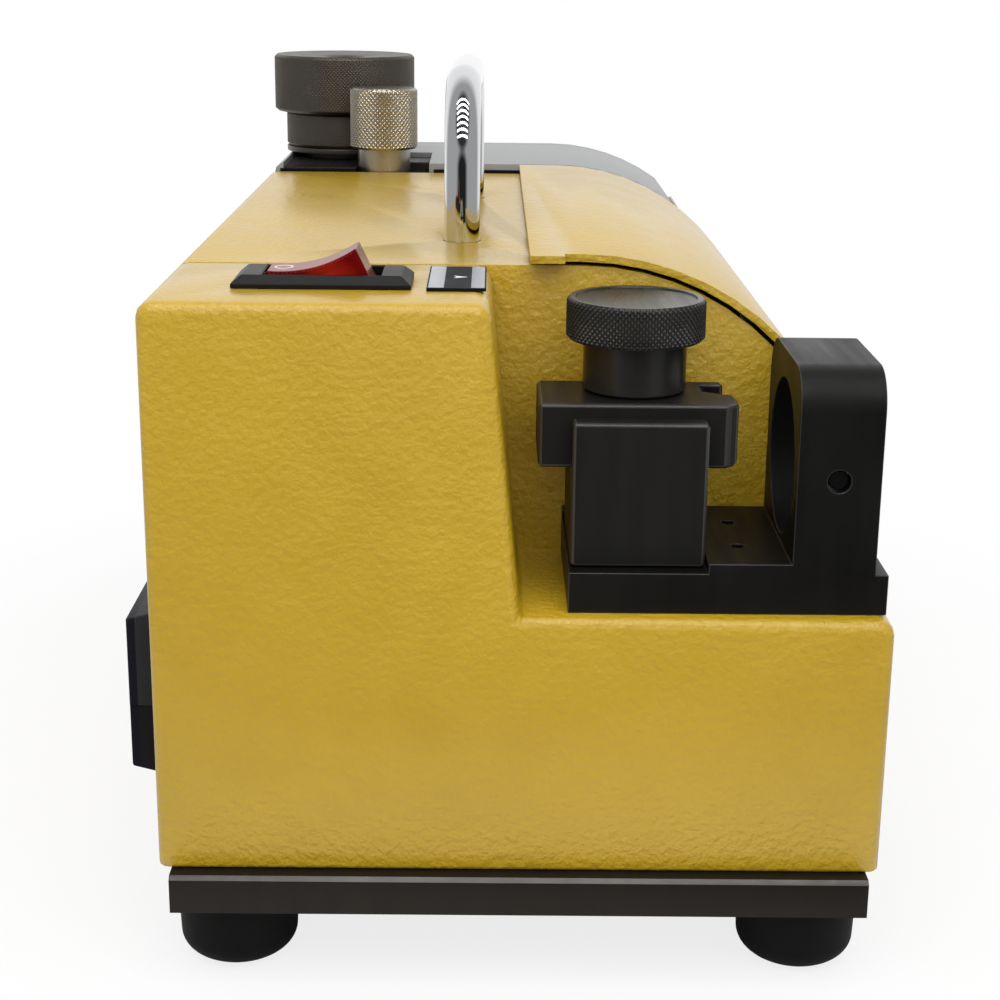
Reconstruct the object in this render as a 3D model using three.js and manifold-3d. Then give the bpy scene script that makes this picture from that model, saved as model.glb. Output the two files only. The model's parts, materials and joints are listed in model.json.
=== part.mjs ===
import * as THREE from "three";
import { mergeVertices } from "three/addons/utils/BufferGeometryUtils.js";
import Module from "manifold-3d";

// Bench-top drill bit grinder with a setting gauge on its front shelf.
// Millimetres. x runs to the right from the left side wall, y runs back from the front face,
// z runs up from the floor. The finished group is centred over its footprint.

// Clearances and rounding shared by all pieces
const gap = 0.3;
const overrun = 2;
const mergeDistance = 0.0001;

// Feet and base plate
const footHeight = 19.6;
const footRadius = 15.5;
const footSideRadius = 15;
const footPadRadius = 6.5;
const footDomeHeight = 6.5;
const footRimChamfer = 0.4;
const footInset = 14.6;
const footFrontY = 15;
const footRearSetback = 26;
const plugRadius = 4;
const plugHeight = 6;
const plateThickness = 9.9;
const plateLead = 4.5;
const plateInset = 3.3;
const plateChamfer = 1;

// Painted housings
const bodyWidth = 180;
const bodyHeight = 142.7;
const bodyLength = 264.7;
const frontDepth = 57.3;
const sheet = 3;
const cornerRadius = 4;
const edgeRadius = 2.6;
const shelfDrop = 76.2;
const notchTopX = 81.6;
const notchLean = 7.8;
const arcCentreX = 105.4;
const arcInset = 3.8;
const stepX = 99;
const grommetHoleX = 38;
const grommetHoleDrop = 40;
const grommetHoleRadius = 6;

// Lid over the collet tray
const lidLeftX = 91.7;
const lidClearance = 1.2;
const lidThickness = 2;
const lidLead = 1;
const lidTabLength = 8.9;
const lidTabReach = 4;
const hingeBarrelRadius = 3;
const hingeDrop = 2.7;
const hingePinRadius = 1.3;
const hingeMargin = 7;
const hingeKnuckles = 5;

// Collet tray
const trayThickness = 2.5;
const trayDeckRise = 33;
const trayRightInset = 15;
const trayLedgeWidth = 9;
const trayHolesPerRow = 4;
const trayFirstRow = 20;
const trayRowPitch = 30;
const trayEndMargin = 25;
const colletBores = [4, 6, 8, 10, 12, 13];

// Collets, a standard double-taper form
const colletLength = 31.5;
const colletTopRadius = 9.6;
const colletCollarRadius = 10.5;
const colletFootRadius = 6.9;
const colletCollarHeight = 6.3;
const colletSeatHeight = 6;
const colletSeatRadius = 8.9;

// Carrying handle
const handleX = 73.5;
const handleFrontY = 100;
const handleSpan = 96;
const handleRise = 46.8;
const handleYaw = 0.4;
const handleRodRadius = 5;
const handleBend = 21;
const handleNutRadius = 9;
const handleNutHeight = 6;

// Rocker switch
const bezelLeftX = 19.8;
const bezelFrontY = 18.3;
const bezelLength = 42.9;
const bezelWidth = 19.7;
const bezelHeight = 3;
const bezelBevel = 2.2;
const switchBodyMargin = 6.4;
const switchBodySide = 1.6;
const switchBodyDepth = 22;
const wellWall = 0.8;
const wellFloor = 4;
const rockerWidth = 12.4;
const rockerPivotDrop = 3;
const rockerRestTilt = 14.5;
const rockerTipX = 11;
const rockerTipZ = 9.9;
const rockerMiddleZ = 8;
const rockerFootX = 13.3;
const rockerFootZ = -1.4;
const rockerHubRadius = 8.5;
const rockerHubStart = 200;
const rockerHubEnd = 340;

// Plate with a direction arrow
const arrowPlateLeftX = 66.4;
const arrowPlateFrontY = 17;
const arrowPlateWidth = 14.2;
const arrowPlateDepth = 32;
const arrowPlateThickness = 0.8;

// Fused power inlet on the left side
const inletFrontY = 14;
const inletWidth = 30;
const inletRise = 19.2;
const inletHeight = 43.5;
const inletReach = 8;
const inletBevel = 2;
const inletBodyInset = 2.5;
const inletBodyDepth = 20;
const socketWidth = 23;
const socketHeight = 17;
const socketDepth = 16;
const socketTopInset = 5.5;
const drawerHeight = 12;
const drawerDepth = 12;
const drawerBottomInset = 4.5;
const contactLength = 11;
const contactWidth = 4;
const contactThickness = 2;
const contactPitch = 7;
const contactCarrier = 3;

// Motor and its shaft
const motorX = 66;
const motorRise = 54.7;
const statorRadius = 43;
const statorBoreRadius = 25;
const statorLength = 72;
const bellWall = 3;
const frontBellLength = 22;
const rearBellLength = 29;
const bellHubRadius = 20;
const bellShaftClearance = 2;
const bearingRadius = 16;
const bearingWidth = 10;
const bearingGroove = 0.8;
const bearingGrooveWidth = 4;
const shaftRadius = 6;
const shaftCoreRadius = 7.5;
const rotorLength = 62;
const rotorAirGap = 0.6;
const coilRadius = 34;
const coilSection = 5.5;
const fanRadius = 36;
const fanHubRadius = 11;
const fanStubRadius = 5;
const fanLength = 9;
const fanBlades = 8;
const fanBladeThickness = 2;
const fanClearance = 3;
const capacitorRadius = 17;
const capacitorLength = 62;
const capacitorFromRight = 32;
const capacitorFrontY = 96;
const capacitorCrimp = 1.2;

// Gasket, wheel housing and its cover
const gasketThickness = 2.4;
const gasketWall = 4;
const gasketInset = 2.2;
const castingLeftX = 2.5;
const castingRightInset = 1.5;
const castingDepth = 74;
const castingWall = 5;
const castingBackWall = 6;
const castingFacetStart = 55;
const castingFacetAngle = 59;
const coverThickness = 5;
const coverScrewRadius = 2.5;
const coverScrewLength = 18;
const coverScrewHeadRadius = 4.3;
const coverScrewHeadHeight = 4;
const coverScrewSocketRadius = 2.2;
const coverScrewSocketDepth = 2.2;
const coverBossRadius = 6;
const coverBossInset = 8;
const coverRightScrewRise = 47.5;

// Grinding wheel on the shaft
const wheelRadius = 39;
const wheelRim = 6;
const wheelThickness = 14;
const wheelHubRadius = 17;
const wheelFrontClearance = 31;
const flangeRadius = 15;
const flangeThickness = 6;
const wheelNutRadius = 10;
const wheelNutThickness = 8;
const shaftTail = 4;

// Block with the upright chuck port and its thumb screw
const portBlockLeftX = 6;
const portBlockRightX = 58.5;
const portBlockThickness = 19.3;
const portBlockDrop = 1.7;
const portShoulder = 38;
const chuckX = 25.1;
const chuckSetback = 44.3;
const sleeveWall = 2;
const sleeveRise = 5.5;
const sleeveDepth = 13;
const thumbX = 42;
const thumbSetback = 8.4;
const thumbHeadRadius = 12.3;
const thumbHeadHeight = 21.6;
const thumbNeckRadius = 9.6;
const thumbNeckHeight = 10;
const thumbSeatDrop = 4;
const thumbStudRadius = 4;
const thumbStudLength = 13;
const thumbChamfer = 1;

// Collet chuck
const chuckBarrelRadius = 22.3;
const chuckBarrelRise = 18.3;
const chuckNoseRadius = 14.5;
const chuckNoseLength = 26;
const chuckCapRadius = 26.6;
const chuckCapHeight = 20.8;
const chuckDishRadius = 21.5;
const chuckDishDepth = 1.4;
const chuckBoreRadius = 7;
const chuckColletBore = 8;

// Angled port on the wheel housing's slanted side
const anglePortRise = 1.5;
const anglePortLip = 4;
const anglePortLength = 16;
const anglePortUphill = 5.2;

// Setting gauge: bracket with an upright ring
const gaugeFromNotch = 11.6;
const gaugeWidth = 77.3;
const gaugeFrontY = 5.2;
const gaugeDepth = 49.8;
const gaugeBaseThickness = 12.8;
const gaugeSeatStep = 2.5;
const gaugeHeight = 60.2;
const uprightRightInset = 3.2;
const uprightWidth = 20.3;
const uprightRadius = 10;
const gaugeBoreRadius = 19.5;
const gaugeBoreHeight = 33.6;
const gaugeBoreChamfer = 0.8;
const keyPinRadius = 2.5;
const keyPinSunk = 1.8;
const keyPinHoleRadius = 3.4;
const keyPinReach = 1.6;
const dowelHoleRadius = 1.6;
const dowelHoleFloor = 3;
const dowelFromUpright = 11.4;
const dowelHolePitch = 20;

// Setting gauge: post, stop block and clamp knob
const postWidth = 32.7;
const postLeftInset = 0.5;
const postFrontInset = 3.8;
const postDepth = 40;
const postHeight = 36.1;
const postFrontWall = 6.7;
const blockLength = 48.6;
const blockLeftOverhang = 8;
const blockDepth = 26.4;
const blockHeight = 15.9;
const blockProud = 3.1;
const blockChamfer = 1;
const blockTravel = 6;
const stopSlotDepth = 7.4;
const stopSlotInner = 8.6;
const stopSlotMouth = 13;
const stopJaw = 2.8;
const stopJawSetback = 1.6;
const knobFromPost = 16;
const knobFromBlock = 17;
const knobNeckRadius = 12.8;
const knobNeckHeight = 12.7;
const knobHeadRadius = 17.2;
const knobHeadHeight = 10.2;
const knobChamfer = 0.8;
const knobDishInset = 1.6;
const knobDishDepth = 0.5;
const knobStudRadius = 4;
const knobStudLength = 31;

// Facets round each kind of turned form
const fineFacets = 44;
const facets = 28;
const smallFacets = 20;
const nutSides = 6;
const arcSteps = 14;
const cornerSteps = 3;
const domeSteps = 5;
const bendSteps = 6;
const crownSteps = 8;

// Heights and places that follow from the sizes
const bodyBottomZ = footHeight + plateThickness;
const topZ = bodyBottomZ + bodyHeight;
const shelfZ = topZ - shelfDrop;
const arcRadius = bodyWidth - arcInset - arcCentreX;
const arcCentreZ = topZ - arcRadius;
const lidInnerRadius = arcRadius + lidClearance;
const lidOuterRadius = lidInnerRadius + lidThickness;
const lidTopZ = arcCentreZ + lidOuterRadius;
const hingeX = bodyWidth - hingeBarrelRadius;
const hingeZ = arcCentreZ - hingeDrop;
const rightWallTopZ = hingeZ - hingeBarrelRadius - gap;
const castingFrontY = bodyLength + gasketThickness;
const castingRearY = castingFrontY + castingDepth;
const castingRightX = bodyWidth - castingRightInset;
const castingBottomZ = bodyBottomZ;
const coverRearY = castingRearY + coverThickness;
const motorZ = bodyBottomZ + motorRise;
const trayDeckZ = motorZ + trayDeckRise;
const trayRightX = bodyWidth - trayRightInset;
const trayRows = Math.floor((trayRightX - stepX) / trayRowPitch);
const capacitorX = bodyWidth - capacitorFromRight;
const rearBellFrontY = castingFrontY - rearBellLength;
const statorFrontY = rearBellFrontY - statorLength;
const frontBellFrontY = statorFrontY - frontBellLength;
const wheelFrontY = castingFrontY + wheelFrontClearance;
const wheelRearY = wheelFrontY + wheelThickness;
const chuckY = castingFrontY + chuckSetback;
const thumbY = castingFrontY + thumbSetback;
const portBlockTopZ = lidTopZ - portBlockDrop;
const thumbSeatZ = portBlockTopZ - thumbSeatDrop;
const gaugeLeftX = notchTopX + notchLean + gaugeFromNotch;
const gaugeRightX = gaugeLeftX + gaugeWidth;
const uprightRightX = gaugeRightX - uprightRightInset;
const uprightLeftX = uprightRightX - uprightWidth;
const dowelHoleX = uprightLeftX - dowelFromUpright;
const gaugeBottomZ = shelfZ;
const gaugeBaseTopZ = gaugeBottomZ + gaugeBaseThickness;
const gaugeSeatZ = gaugeBaseTopZ - gaugeSeatStep;
const gaugeTopZ = gaugeBottomZ + gaugeHeight;
const gaugeRearY = gaugeFrontY + gaugeDepth;
const gaugeCentreY = (gaugeFrontY + gaugeRearY) / 2;
const gaugeBoreZ = gaugeBottomZ + gaugeBoreHeight;
const postLeftX = gaugeLeftX + postLeftInset;
const postFrontY = gaugeFrontY + postFrontInset;
const postTopZ = gaugeSeatZ + postHeight;
const blockFrontY = postFrontY + postFrontWall;
const blockTopZ = postTopZ + blockProud;
const blockBottomZ = blockTopZ - blockHeight;
const blockLeftX = postLeftX - blockLeftOverhang;
const knobX = postLeftX + knobFromPost;
const knobY = blockFrontY + knobFromBlock;
const rockerPivotX = bezelLeftX + bezelLength / 2;
const rockerPivotZ = topZ - rockerPivotDrop;

// Finishes: colour, roughness and metalness
const finishes = {
  yellowPaint: ["#c39a2b", 0.45, 0.2],
  gunmetal: ["#2c2a28", 0.45, 0.7],
  blackOxide: ["#201f1e", 0.4, 0.6],
  chuckGrey: ["#33312e", 0.4, 0.7],
  knobGrey: ["#4a4a48", 0.4, 0.7],
  chrome: ["#d8d8da", 0.12, 1],
  nickel: ["#cfc3a6", 0.3, 0.9],
  steel: ["#b0b0b0", 0.3, 0.9],
  groundSteel: ["#b8b8ba", 0.25, 0.9],
  castAluminium: ["#b9bfc4", 0.45, 0.7],
  laminations: ["#8d8f92", 0.5, 0.8],
  brass: ["#b9a15a", 0.3, 0.9],
  copper: ["#9c4a1c", 0.4, 0.5],
  blackPlastic: ["#161618", 0.5, 0],
  greyPlastic: ["#a8a8a4", 0.5, 0.3],
  rubber: ["#151515", 0.8, 0],
  redLens: ["#a5120a", 0.25, 0],
  printedPlate: ["#101010", 0.35, 0.5],
  abrasive: ["#5d5a50", 0.9, 0],
};

const halfTurn = Math.PI;
const quarterTurn = halfTurn / 2;
const radians = THREE.MathUtils.degToRad;

const wasm = await Module();
wasm.setup();

const machine = new THREE.Group();

// A closed geometry as a solid that can be joined and cut
function solid(geometry) {
  const bare = geometry.clone();
  bare.deleteAttribute("normal");
  bare.deleteAttribute("uv");
  const merged = mergeVertices(bare, mergeDistance);
  const corners = merged.index.array;
  const kept = [];
  for (let i = 0; i < corners.length; i += 3) {
    const [a, b, c] = corners.slice(i, i + 3);
    if (a !== b && b !== c && c !== a) kept.push(a, b, c);
  }
  const mesh = new wasm.Mesh({
    numProp: 3,
    vertProperties: merged.attributes.position.array,
    triVerts: new Uint32Array(kept),
  });
  return new wasm.Manifold(mesh);
}

// A solid as a named mesh of the machine
function piece(name, body, [color, roughness, metalness]) {
  const { vertProperties, triVerts } = body.getMesh();
  const geometry = new THREE.BufferGeometry();
  geometry.setAttribute("position", new THREE.BufferAttribute(vertProperties, 3));
  geometry.setIndex(new THREE.BufferAttribute(triVerts, 1));
  geometry.computeVertexNormals();
  const material = new THREE.MeshStandardMaterial({ color, roughness, metalness });
  const mesh = new THREE.Mesh(geometry, material);
  mesh.name = name;
  machine.add(mesh);
  return mesh;
}

function joined(first, ...rest) {
  return rest.reduce((sum, next) => sum.add(next), first);
}

function cut(first, ...tools) {
  return tools.reduce((left, tool) => left.subtract(tool), first);
}

function box([x0, x1], [y0, y1], [z0, z1]) {
  const geometry = new THREE.BoxGeometry(x1 - x0, y1 - y0, z1 - z0);
  geometry.translate((x0 + x1) / 2, (y0 + y1) / 2, (z0 + z1) / 2);
  return solid(geometry);
}

// An outline pushed along one axis. Its pairs are (y, z) for x, (x, z) for y and (x, y) for z.
function prism(outline, axis, from, to, rounding = 0) {
  const shape = new THREE.Shape(outline.map(([a, b]) => new THREE.Vector2(a, b)));
  const geometry = new THREE.ExtrudeGeometry(shape, {
    depth: to - from - 2 * rounding,
    bevelEnabled: rounding > 0,
    bevelThickness: rounding,
    bevelSize: rounding,
    bevelOffset: -rounding,
    bevelSegments: cornerSteps,
  });
  geometry.translate(0, 0, rounding);
  if (axis === "z") geometry.translate(0, 0, from);
  if (axis === "y") {
    geometry.rotateX(quarterTurn);
    geometry.translate(0, to, 0);
  }
  if (axis === "x") {
    geometry.rotateX(quarterTurn);
    geometry.rotateZ(quarterTurn);
    geometry.translate(from, 0, 0);
  }
  return solid(geometry);
}

// A closed profile of (radius, height) pairs turned round an axis through a point
function turned(profile, axis, [x, y, z], sides = facets) {
  const points = profile.map(([radius, height]) => new THREE.Vector2(radius, height));
  if (!THREE.ShapeUtils.isClockWise(points)) points.reverse();
  const open = points.findIndex((p, i) => p.x === 0 && points.at(i - 1).x === 0);
  const ordered = open < 0 ? [...points, points[0]] : [...points.slice(open), ...points.slice(0, open)];
  ordered.reverse();
  const geometry = new THREE.LatheGeometry(ordered, sides);
  if (axis === "z") geometry.rotateX(quarterTurn);
  if (axis === "x") geometry.rotateZ(-quarterTurn);
  geometry.translate(x, y, z);
  return solid(geometry);
}

function rod(axis, radius, from, to, centre, sides = facets) {
  return turned([[0, from], [radius, from], [radius, to], [0, to]], axis, centre, sides);
}

function tube(axis, inner, outer, from, to, centre, sides = facets) {
  return turned([[inner, from], [outer, from], [outer, to], [inner, to]], axis, centre, sides);
}

function hexNut(axis, bore, radius, from, to, centre) {
  const hole = rod(axis, bore, from - overrun, to + overrun, centre, smallFacets);
  return rod(axis, radius, from, to, centre, nutSides).subtract(hole);
}

// Points along an arc, angles in degrees from the first axis towards the second
function arc([cx, cy], radius, start, end, steps = arcSteps) {
  return Array.from({ length: steps + 1 }, (_, i) => {
    const angle = radians(start + ((end - start) * i) / steps);
    return [cx + radius * Math.cos(angle), cy + radius * Math.sin(angle)];
  });
}

// An outline of (x, y, radius) corners with each radius turned into a short arc
function rounded(corners) {
  return corners.flatMap(([x, y, radius = 0], i) => {
    if (!radius) return [[x, y]];
    const here = new THREE.Vector2(x, y);
    const [bx, by] = corners.at(i - 1);
    const [ax, ay] = corners[(i + 1) % corners.length];
    const back = new THREE.Vector2(bx, by).sub(here).normalize();
    const ahead = new THREE.Vector2(ax, ay).sub(here).normalize();
    const half = back.angleTo(ahead) / 2;
    const inward = back.clone().add(ahead).normalize();
    const centre = here.clone().addScaledVector(inward, radius / Math.sin(half));
    const start = here.clone().addScaledVector(back, radius / Math.tan(half)).sub(centre);
    const end = here.clone().addScaledVector(ahead, radius / Math.tan(half)).sub(centre);
    const from = Math.atan2(start.y, start.x);
    const turn = Math.atan2(start.cross(end), start.dot(end));
    return Array.from({ length: cornerSteps + 1 }, (_, k) => {
      const angle = from + (turn * k) / cornerSteps;
      return [centre.x + radius * Math.cos(angle), centre.y + radius * Math.sin(angle)];
    });
  });
}

// An outline moved inwards by a distance; the outline runs anticlockwise
function inset(outline, distance) {
  return outline.map(([x, y], i) => {
    const [bx, by] = outline.at(i - 1);
    const [ax, ay] = outline[(i + 1) % outline.length];
    const before = new THREE.Vector2(x - bx, y - by).normalize();
    const after = new THREE.Vector2(ax - x, ay - y).normalize();
    const normal = new THREE.Vector2(-before.y - after.y, before.x + after.x).normalize();
    const spread = distance / (normal.x * -before.y + normal.y * before.x);
    return [x + normal.x * spread, y + normal.y * spread];
  });
}

// Outline of a box lying in a plane
function rectangle([x0, x1], [y0, y1]) {
  return [[x0, y0], [x1, y0], [x1, y1], [x0, y1]];
}

// Base plate and feet
function footPlaces() {
  const left = footInset + plateInset;
  const right = bodyWidth - left;
  const rear = coverRearY - footRearSetback;
  return [[left, footFrontY], [right, footFrontY], [left, rear], [right, rear]];
}

function addFeet() {
  const flare = footSideRadius - footPadRadius;
  const dome = Array.from({ length: domeSteps + 1 }, (_, i) => {
    const turn = (quarterTurn * i) / domeSteps;
    return [footPadRadius + flare * Math.sin(turn), footDomeHeight * (1 - Math.cos(turn))];
  });
  const profile = [
    [0, 0],
    ...dome,
    [footRadius, footHeight - footRimChamfer],
    [footRadius - footRimChamfer, footHeight],
    [plugRadius, footHeight],
    [plugRadius, footHeight + plugHeight],
    [0, footHeight + plugHeight],
  ];
  footPlaces().forEach(([x, y], i) => {
    piece(`foot_${i + 1}`, turned(profile, "z", [x, y, 0]), finishes.rubber);
  });
}

function addBasePlate() {
  const z0 = footHeight;
  const z1 = bodyBottomZ;
  const side = [
    [-plateLead, z0],
    [coverRearY, z0],
    [coverRearY, z1 - plateChamfer],
    [coverRearY - plateChamfer, z1],
    [plateChamfer - plateLead, z1],
    [-plateLead, z1 - plateChamfer],
  ];
  const plate = prism(side, "x", plateInset, bodyWidth - plateInset);
  const holes = footPlaces().map(([x, y]) =>
    rod("z", plugRadius + gap, z0 - overrun, z1 + overrun, [x, y, 0], smallFacets));
  piece("base_plate", cut(plate, ...holes), finishes.gunmetal);
}

// Housings: outlines run anticlockwise in (x, z)
function addFrontCover() {
  const low = bodyBottomZ - 2 * edgeRadius;
  const corners = [
    [0, low],
    [bodyWidth, low],
    [bodyWidth, shelfZ, cornerRadius],
    [notchTopX + notchLean, shelfZ],
    [notchTopX, topZ, cornerRadius],
    [0, topZ, cornerRadius],
  ];
  const block = prism(rounded(corners), "y", 0, frontDepth + 2 * edgeRadius, edgeRadius);
  const trim = box([0, bodyWidth], [0, frontDepth], [bodyBottomZ, topZ]);
  const inside = prism(inset(corners, sheet), "y", sheet, frontDepth + overrun);
  const switchHole = box(switchSpanX(gap), switchSpanY(gap), [topZ - cornerRadius, topZ + overrun]);
  const inletMargin = inletBodyInset - gap;
  const inletHole = box([-overrun, cornerRadius], inletSpanY(inletMargin), inletSpanZ(inletMargin));
  piece("front_cover", cut(block.intersect(trim), inside, switchHole, inletHole), finishes.yellowPaint);
}

function wallOutline() {
  const corner = [arcCentreX, arcCentreZ];
  return [
    [0, bodyBottomZ],
    [bodyWidth, bodyBottomZ],
    [bodyWidth, rightWallTopZ],
    [arcCentreX + arcRadius, rightWallTopZ],
    ...arc(corner, arcRadius, 0, 90),
    ...arc([cornerRadius, topZ - cornerRadius], cornerRadius, 90, 180, cornerSteps),
  ];
}

function hingeSpans(share) {
  const start = frontDepth + gap + hingeMargin;
  const pitch = (bodyLength - hingeMargin - start) / hingeKnuckles;
  const spans = Array.from({ length: hingeKnuckles }, (_, i) =>
    [start + i * pitch + gap / 2, start + (i + 1) * pitch - gap / 2]);
  return spans.filter((_, i) => i % 2 === share);
}

// The hole along the lid's hinge, up to a place along y
function hingeHole(rearY) {
  return rod("y", hingePinRadius + gap / 2, 0, rearY, [hingeX, 0, hingeZ], smallFacets);
}

function addMainHousing() {
  const frontY = frontDepth + gap;
  const y = [frontY, bodyLength];
  const outer = rounded([[0, bodyBottomZ], [stepX, bodyBottomZ], [stepX, topZ], [0, topZ, cornerRadius]]);
  const hollow = rectangle([sheet, stepX - sheet], [bodyBottomZ - overrun, topZ - sheet]);
  const ledgeZ = trayDeckZ - trayThickness - gap;
  const channel = cut(
    prism(outer, "y", ...y),
    prism(hollow, "y", frontY - overrun, bodyLength + overrun),
    box([stepX - sheet - overrun, stepX + overrun], [0, coverRearY], [0, ledgeZ - sheet]));
  const right = box([bodyWidth - sheet, bodyWidth], y, [bodyBottomZ, rightWallTopZ]);
  const ledges = [[frontY, frontY + trayLedgeWidth], [bodyLength - trayLedgeWidth, bodyLength]].map((along) =>
    box([stepX - sheet, trayRightX], along, [ledgeZ - sheet, ledgeZ]));
  const knuckles = hingeSpans(0).map(([a, b]) => joined(
    rod("y", hingeBarrelRadius, a, b, [hingeX, 0, hingeZ], smallFacets),
    box([hingeX, bodyWidth], [a, b], [rightWallTopZ - sheet, hingeZ])));
  const pinHole = hingeHole(bodyLength - sheet - gap);
  const front = prism(wallOutline(), "y", frontY, frontY + sheet);
  const rear = prism(wallOutline(), "y", bodyLength - sheet, bodyLength);
  const motorAt = [motorX, 0, motorZ];
  const motorY = [frontBellFrontY - gap, bodyLength + overrun];
  const motorHole = rod("y", statorRadius + gap, ...motorY, motorAt, fineFacets);
  const wireAt = [grommetHoleX, 0, topZ - grommetHoleDrop];
  const wireHole = rod("y", grommetHoleRadius, 0, frontY + sheet + overrun, wireAt, smallFacets);
  const handleHoles = handlePlaces().map((at) =>
    rod("z", handleRodRadius + gap, topZ - sheet - overrun, topZ + overrun, [...at, 0], smallFacets));
  const walls = cut(joined(channel, right, ...ledges, front, rear), motorHole, wireHole, ...handleHoles);
  piece("main_housing", cut(joined(walls, ...knuckles), pinHole), finishes.yellowPaint);
}

function addLid() {
  const centre = [arcCentreX, arcCentreZ];
  const outline = [
    [arcCentreX + lidInnerRadius, hingeZ],
    [arcCentreX + lidOuterRadius, hingeZ],
    ...arc(centre, lidOuterRadius, 0, 90),
    [lidLeftX, lidTopZ],
    [lidLeftX, lidTopZ - lidThickness],
    ...arc(centre, lidInnerRadius, 90, 0),
  ];
  const frontY = frontDepth - lidLead;
  const tabX = [lidLeftX, lidLeftX + lidTabLength];
  const tab = box(tabX, [frontY - lidTabReach, frontDepth], [lidTopZ - lidThickness, lidTopZ]);
  const rolled = joined(prism(outline, "y", frontY, bodyLength), tab);
  const housingSpans = hingeSpans(0).map(([a, b]) =>
    box([hingeX - 2 * hingeBarrelRadius, hingeX + 2 * hingeBarrelRadius], [a - gap, b + gap],
      [hingeZ - overrun, hingeZ + hingeBarrelRadius + gap]));
  const hingeAt = [hingeX, 0, hingeZ];
  const barrels = hingeSpans(1).map(([a, b]) => rod("y", hingeBarrelRadius, a, b, hingeAt, smallFacets));
  const leaf = joined(cut(rolled, ...housingSpans), ...barrels);
  piece("lid", cut(leaf, hingeHole(bodyLength + overrun)), finishes.yellowPaint);
  const pinY = [frontDepth + sheet + 2 * gap, bodyLength - sheet - gap];
  const pin = rod("y", hingePinRadius, ...pinY, hingeAt, smallFacets);
  piece("lid_hinge_pin", pin, finishes.steel);
}

// Collet tray and the collets standing in it
function trayPlaces() {
  const start = frontDepth + trayEndMargin;
  const pitch = (bodyLength - trayEndMargin - start) / (trayHolesPerRow - 1);
  return Array.from({ length: trayRows * trayHolesPerRow }, (_, i) => [
    stepX + trayFirstRow + Math.floor(i / trayHolesPerRow) * trayRowPitch,
    start + (i % trayHolesPerRow) * pitch,
  ]);
}

function addTray() {
  const x = [stepX + gap, trayRightX];
  const y = [frontDepth + sheet + 2 * gap, bodyLength - sheet - gap];
  const z = [trayDeckZ - trayThickness, trayDeckZ];
  const holes = trayPlaces().map(([hx, hy]) =>
    rod("z", colletSeatRadius, z[0] - overrun, z[1] + overrun, [hx, hy, 0]));
  piece("collet_tray", cut(box(x, y, z), ...holes), finishes.blackPlastic);
}

function colletAt(name, bore, x, y, bottomZ) {
  const profile = [
    [bore / 2, 0],
    [colletFootRadius, 0],
    [colletSeatRadius - gap, colletLength - colletCollarHeight - colletSeatHeight],
    [colletSeatRadius - gap, colletLength - colletCollarHeight],
    [colletCollarRadius, colletLength - colletCollarHeight],
    [colletCollarRadius, colletLength - colletCollarHeight / 2],
    [colletTopRadius, colletLength],
    [bore / 2, colletLength],
  ];
  piece(name, turned(profile, "z", [x, y, bottomZ], smallFacets), finishes.groundSteel);
}

function addCollets() {
  const places = trayPlaces();
  const bottomZ = trayDeckZ + gap - colletLength + colletCollarHeight;
  places.slice(0, colletBores.length).forEach(([x, y], i) => {
    colletAt(`collet_${i + 1}`, colletBores[i], x, y, bottomZ);
  });
}

// Carrying handle
function handlePlaces() {
  const yaw = radians(handleYaw);
  return [0, handleSpan].map((along) => [
    handleX + along * Math.sin(yaw),
    handleFrontY + along * Math.cos(yaw),
  ]);
}

function addHandle() {
  const [front, rear] = [0, handleSpan];
  const top = topZ + handleRise - handleRodRadius;
  const foot = topZ - sheet - handleNutHeight - 2 * gap;
  const bendFront = arc([front + handleBend, top - handleBend], handleBend, 180, 90, bendSteps);
  const bendRear = arc([rear - handleBend, top - handleBend], handleBend, 90, 0, bendSteps);
  const stops = [[front, foot], ...bendFront, ...bendRear, [rear, foot]].map(([y, z]) =>
    new THREE.Vector3(0, y, z));
  const ring = new THREE.Shape(arc([0, 0], handleRodRadius, 0, 360, smallFacets)
    .slice(0, smallFacets)
    .map(([a, b]) => new THREE.Vector2(a, b)));
  const across = new THREE.Vector3(1, 0, 0);
  const tangents = stops.map((_, i) => {
    const before = stops[Math.max(i - 1, 0)];
    const after = stops[Math.min(i + 1, stops.length - 1)];
    return after.clone().sub(before).normalize();
  });
  const normals = tangents.map((along) => across.clone().cross(along));
  const binormals = tangents.map(() => across);
  const extrudePath = {
    getSpacedPoints: () => stops,
    computeFrenetFrames: () => ({ tangents, normals, binormals }),
  };
  const steps = stops.length - 1;
  const geometry = new THREE.ExtrudeGeometry(ring, { steps, bevelEnabled: false, extrudePath });
  geometry.rotateZ(-radians(handleYaw));
  geometry.translate(handleX, handleFrontY, 0);
  piece("carrying_handle", solid(geometry), finishes.chrome);
  handlePlaces().forEach((at, i) => {
    const high = topZ - sheet - gap;
    const nut = hexNut("z", handleRodRadius + gap, handleNutRadius, high - handleNutHeight, high, [...at, 0]);
    piece(`handle_nut_${i + 1}`, nut, finishes.steel);
  });
}

// Rocker switch
function switchSpanX(spare) {
  return [bezelLeftX + switchBodyMargin - spare, bezelLeftX + bezelLength - switchBodyMargin + spare];
}

function switchSpanY(spare) {
  return [bezelFrontY + switchBodySide - spare, bezelFrontY + bezelWidth - switchBodySide + spare];
}

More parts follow.
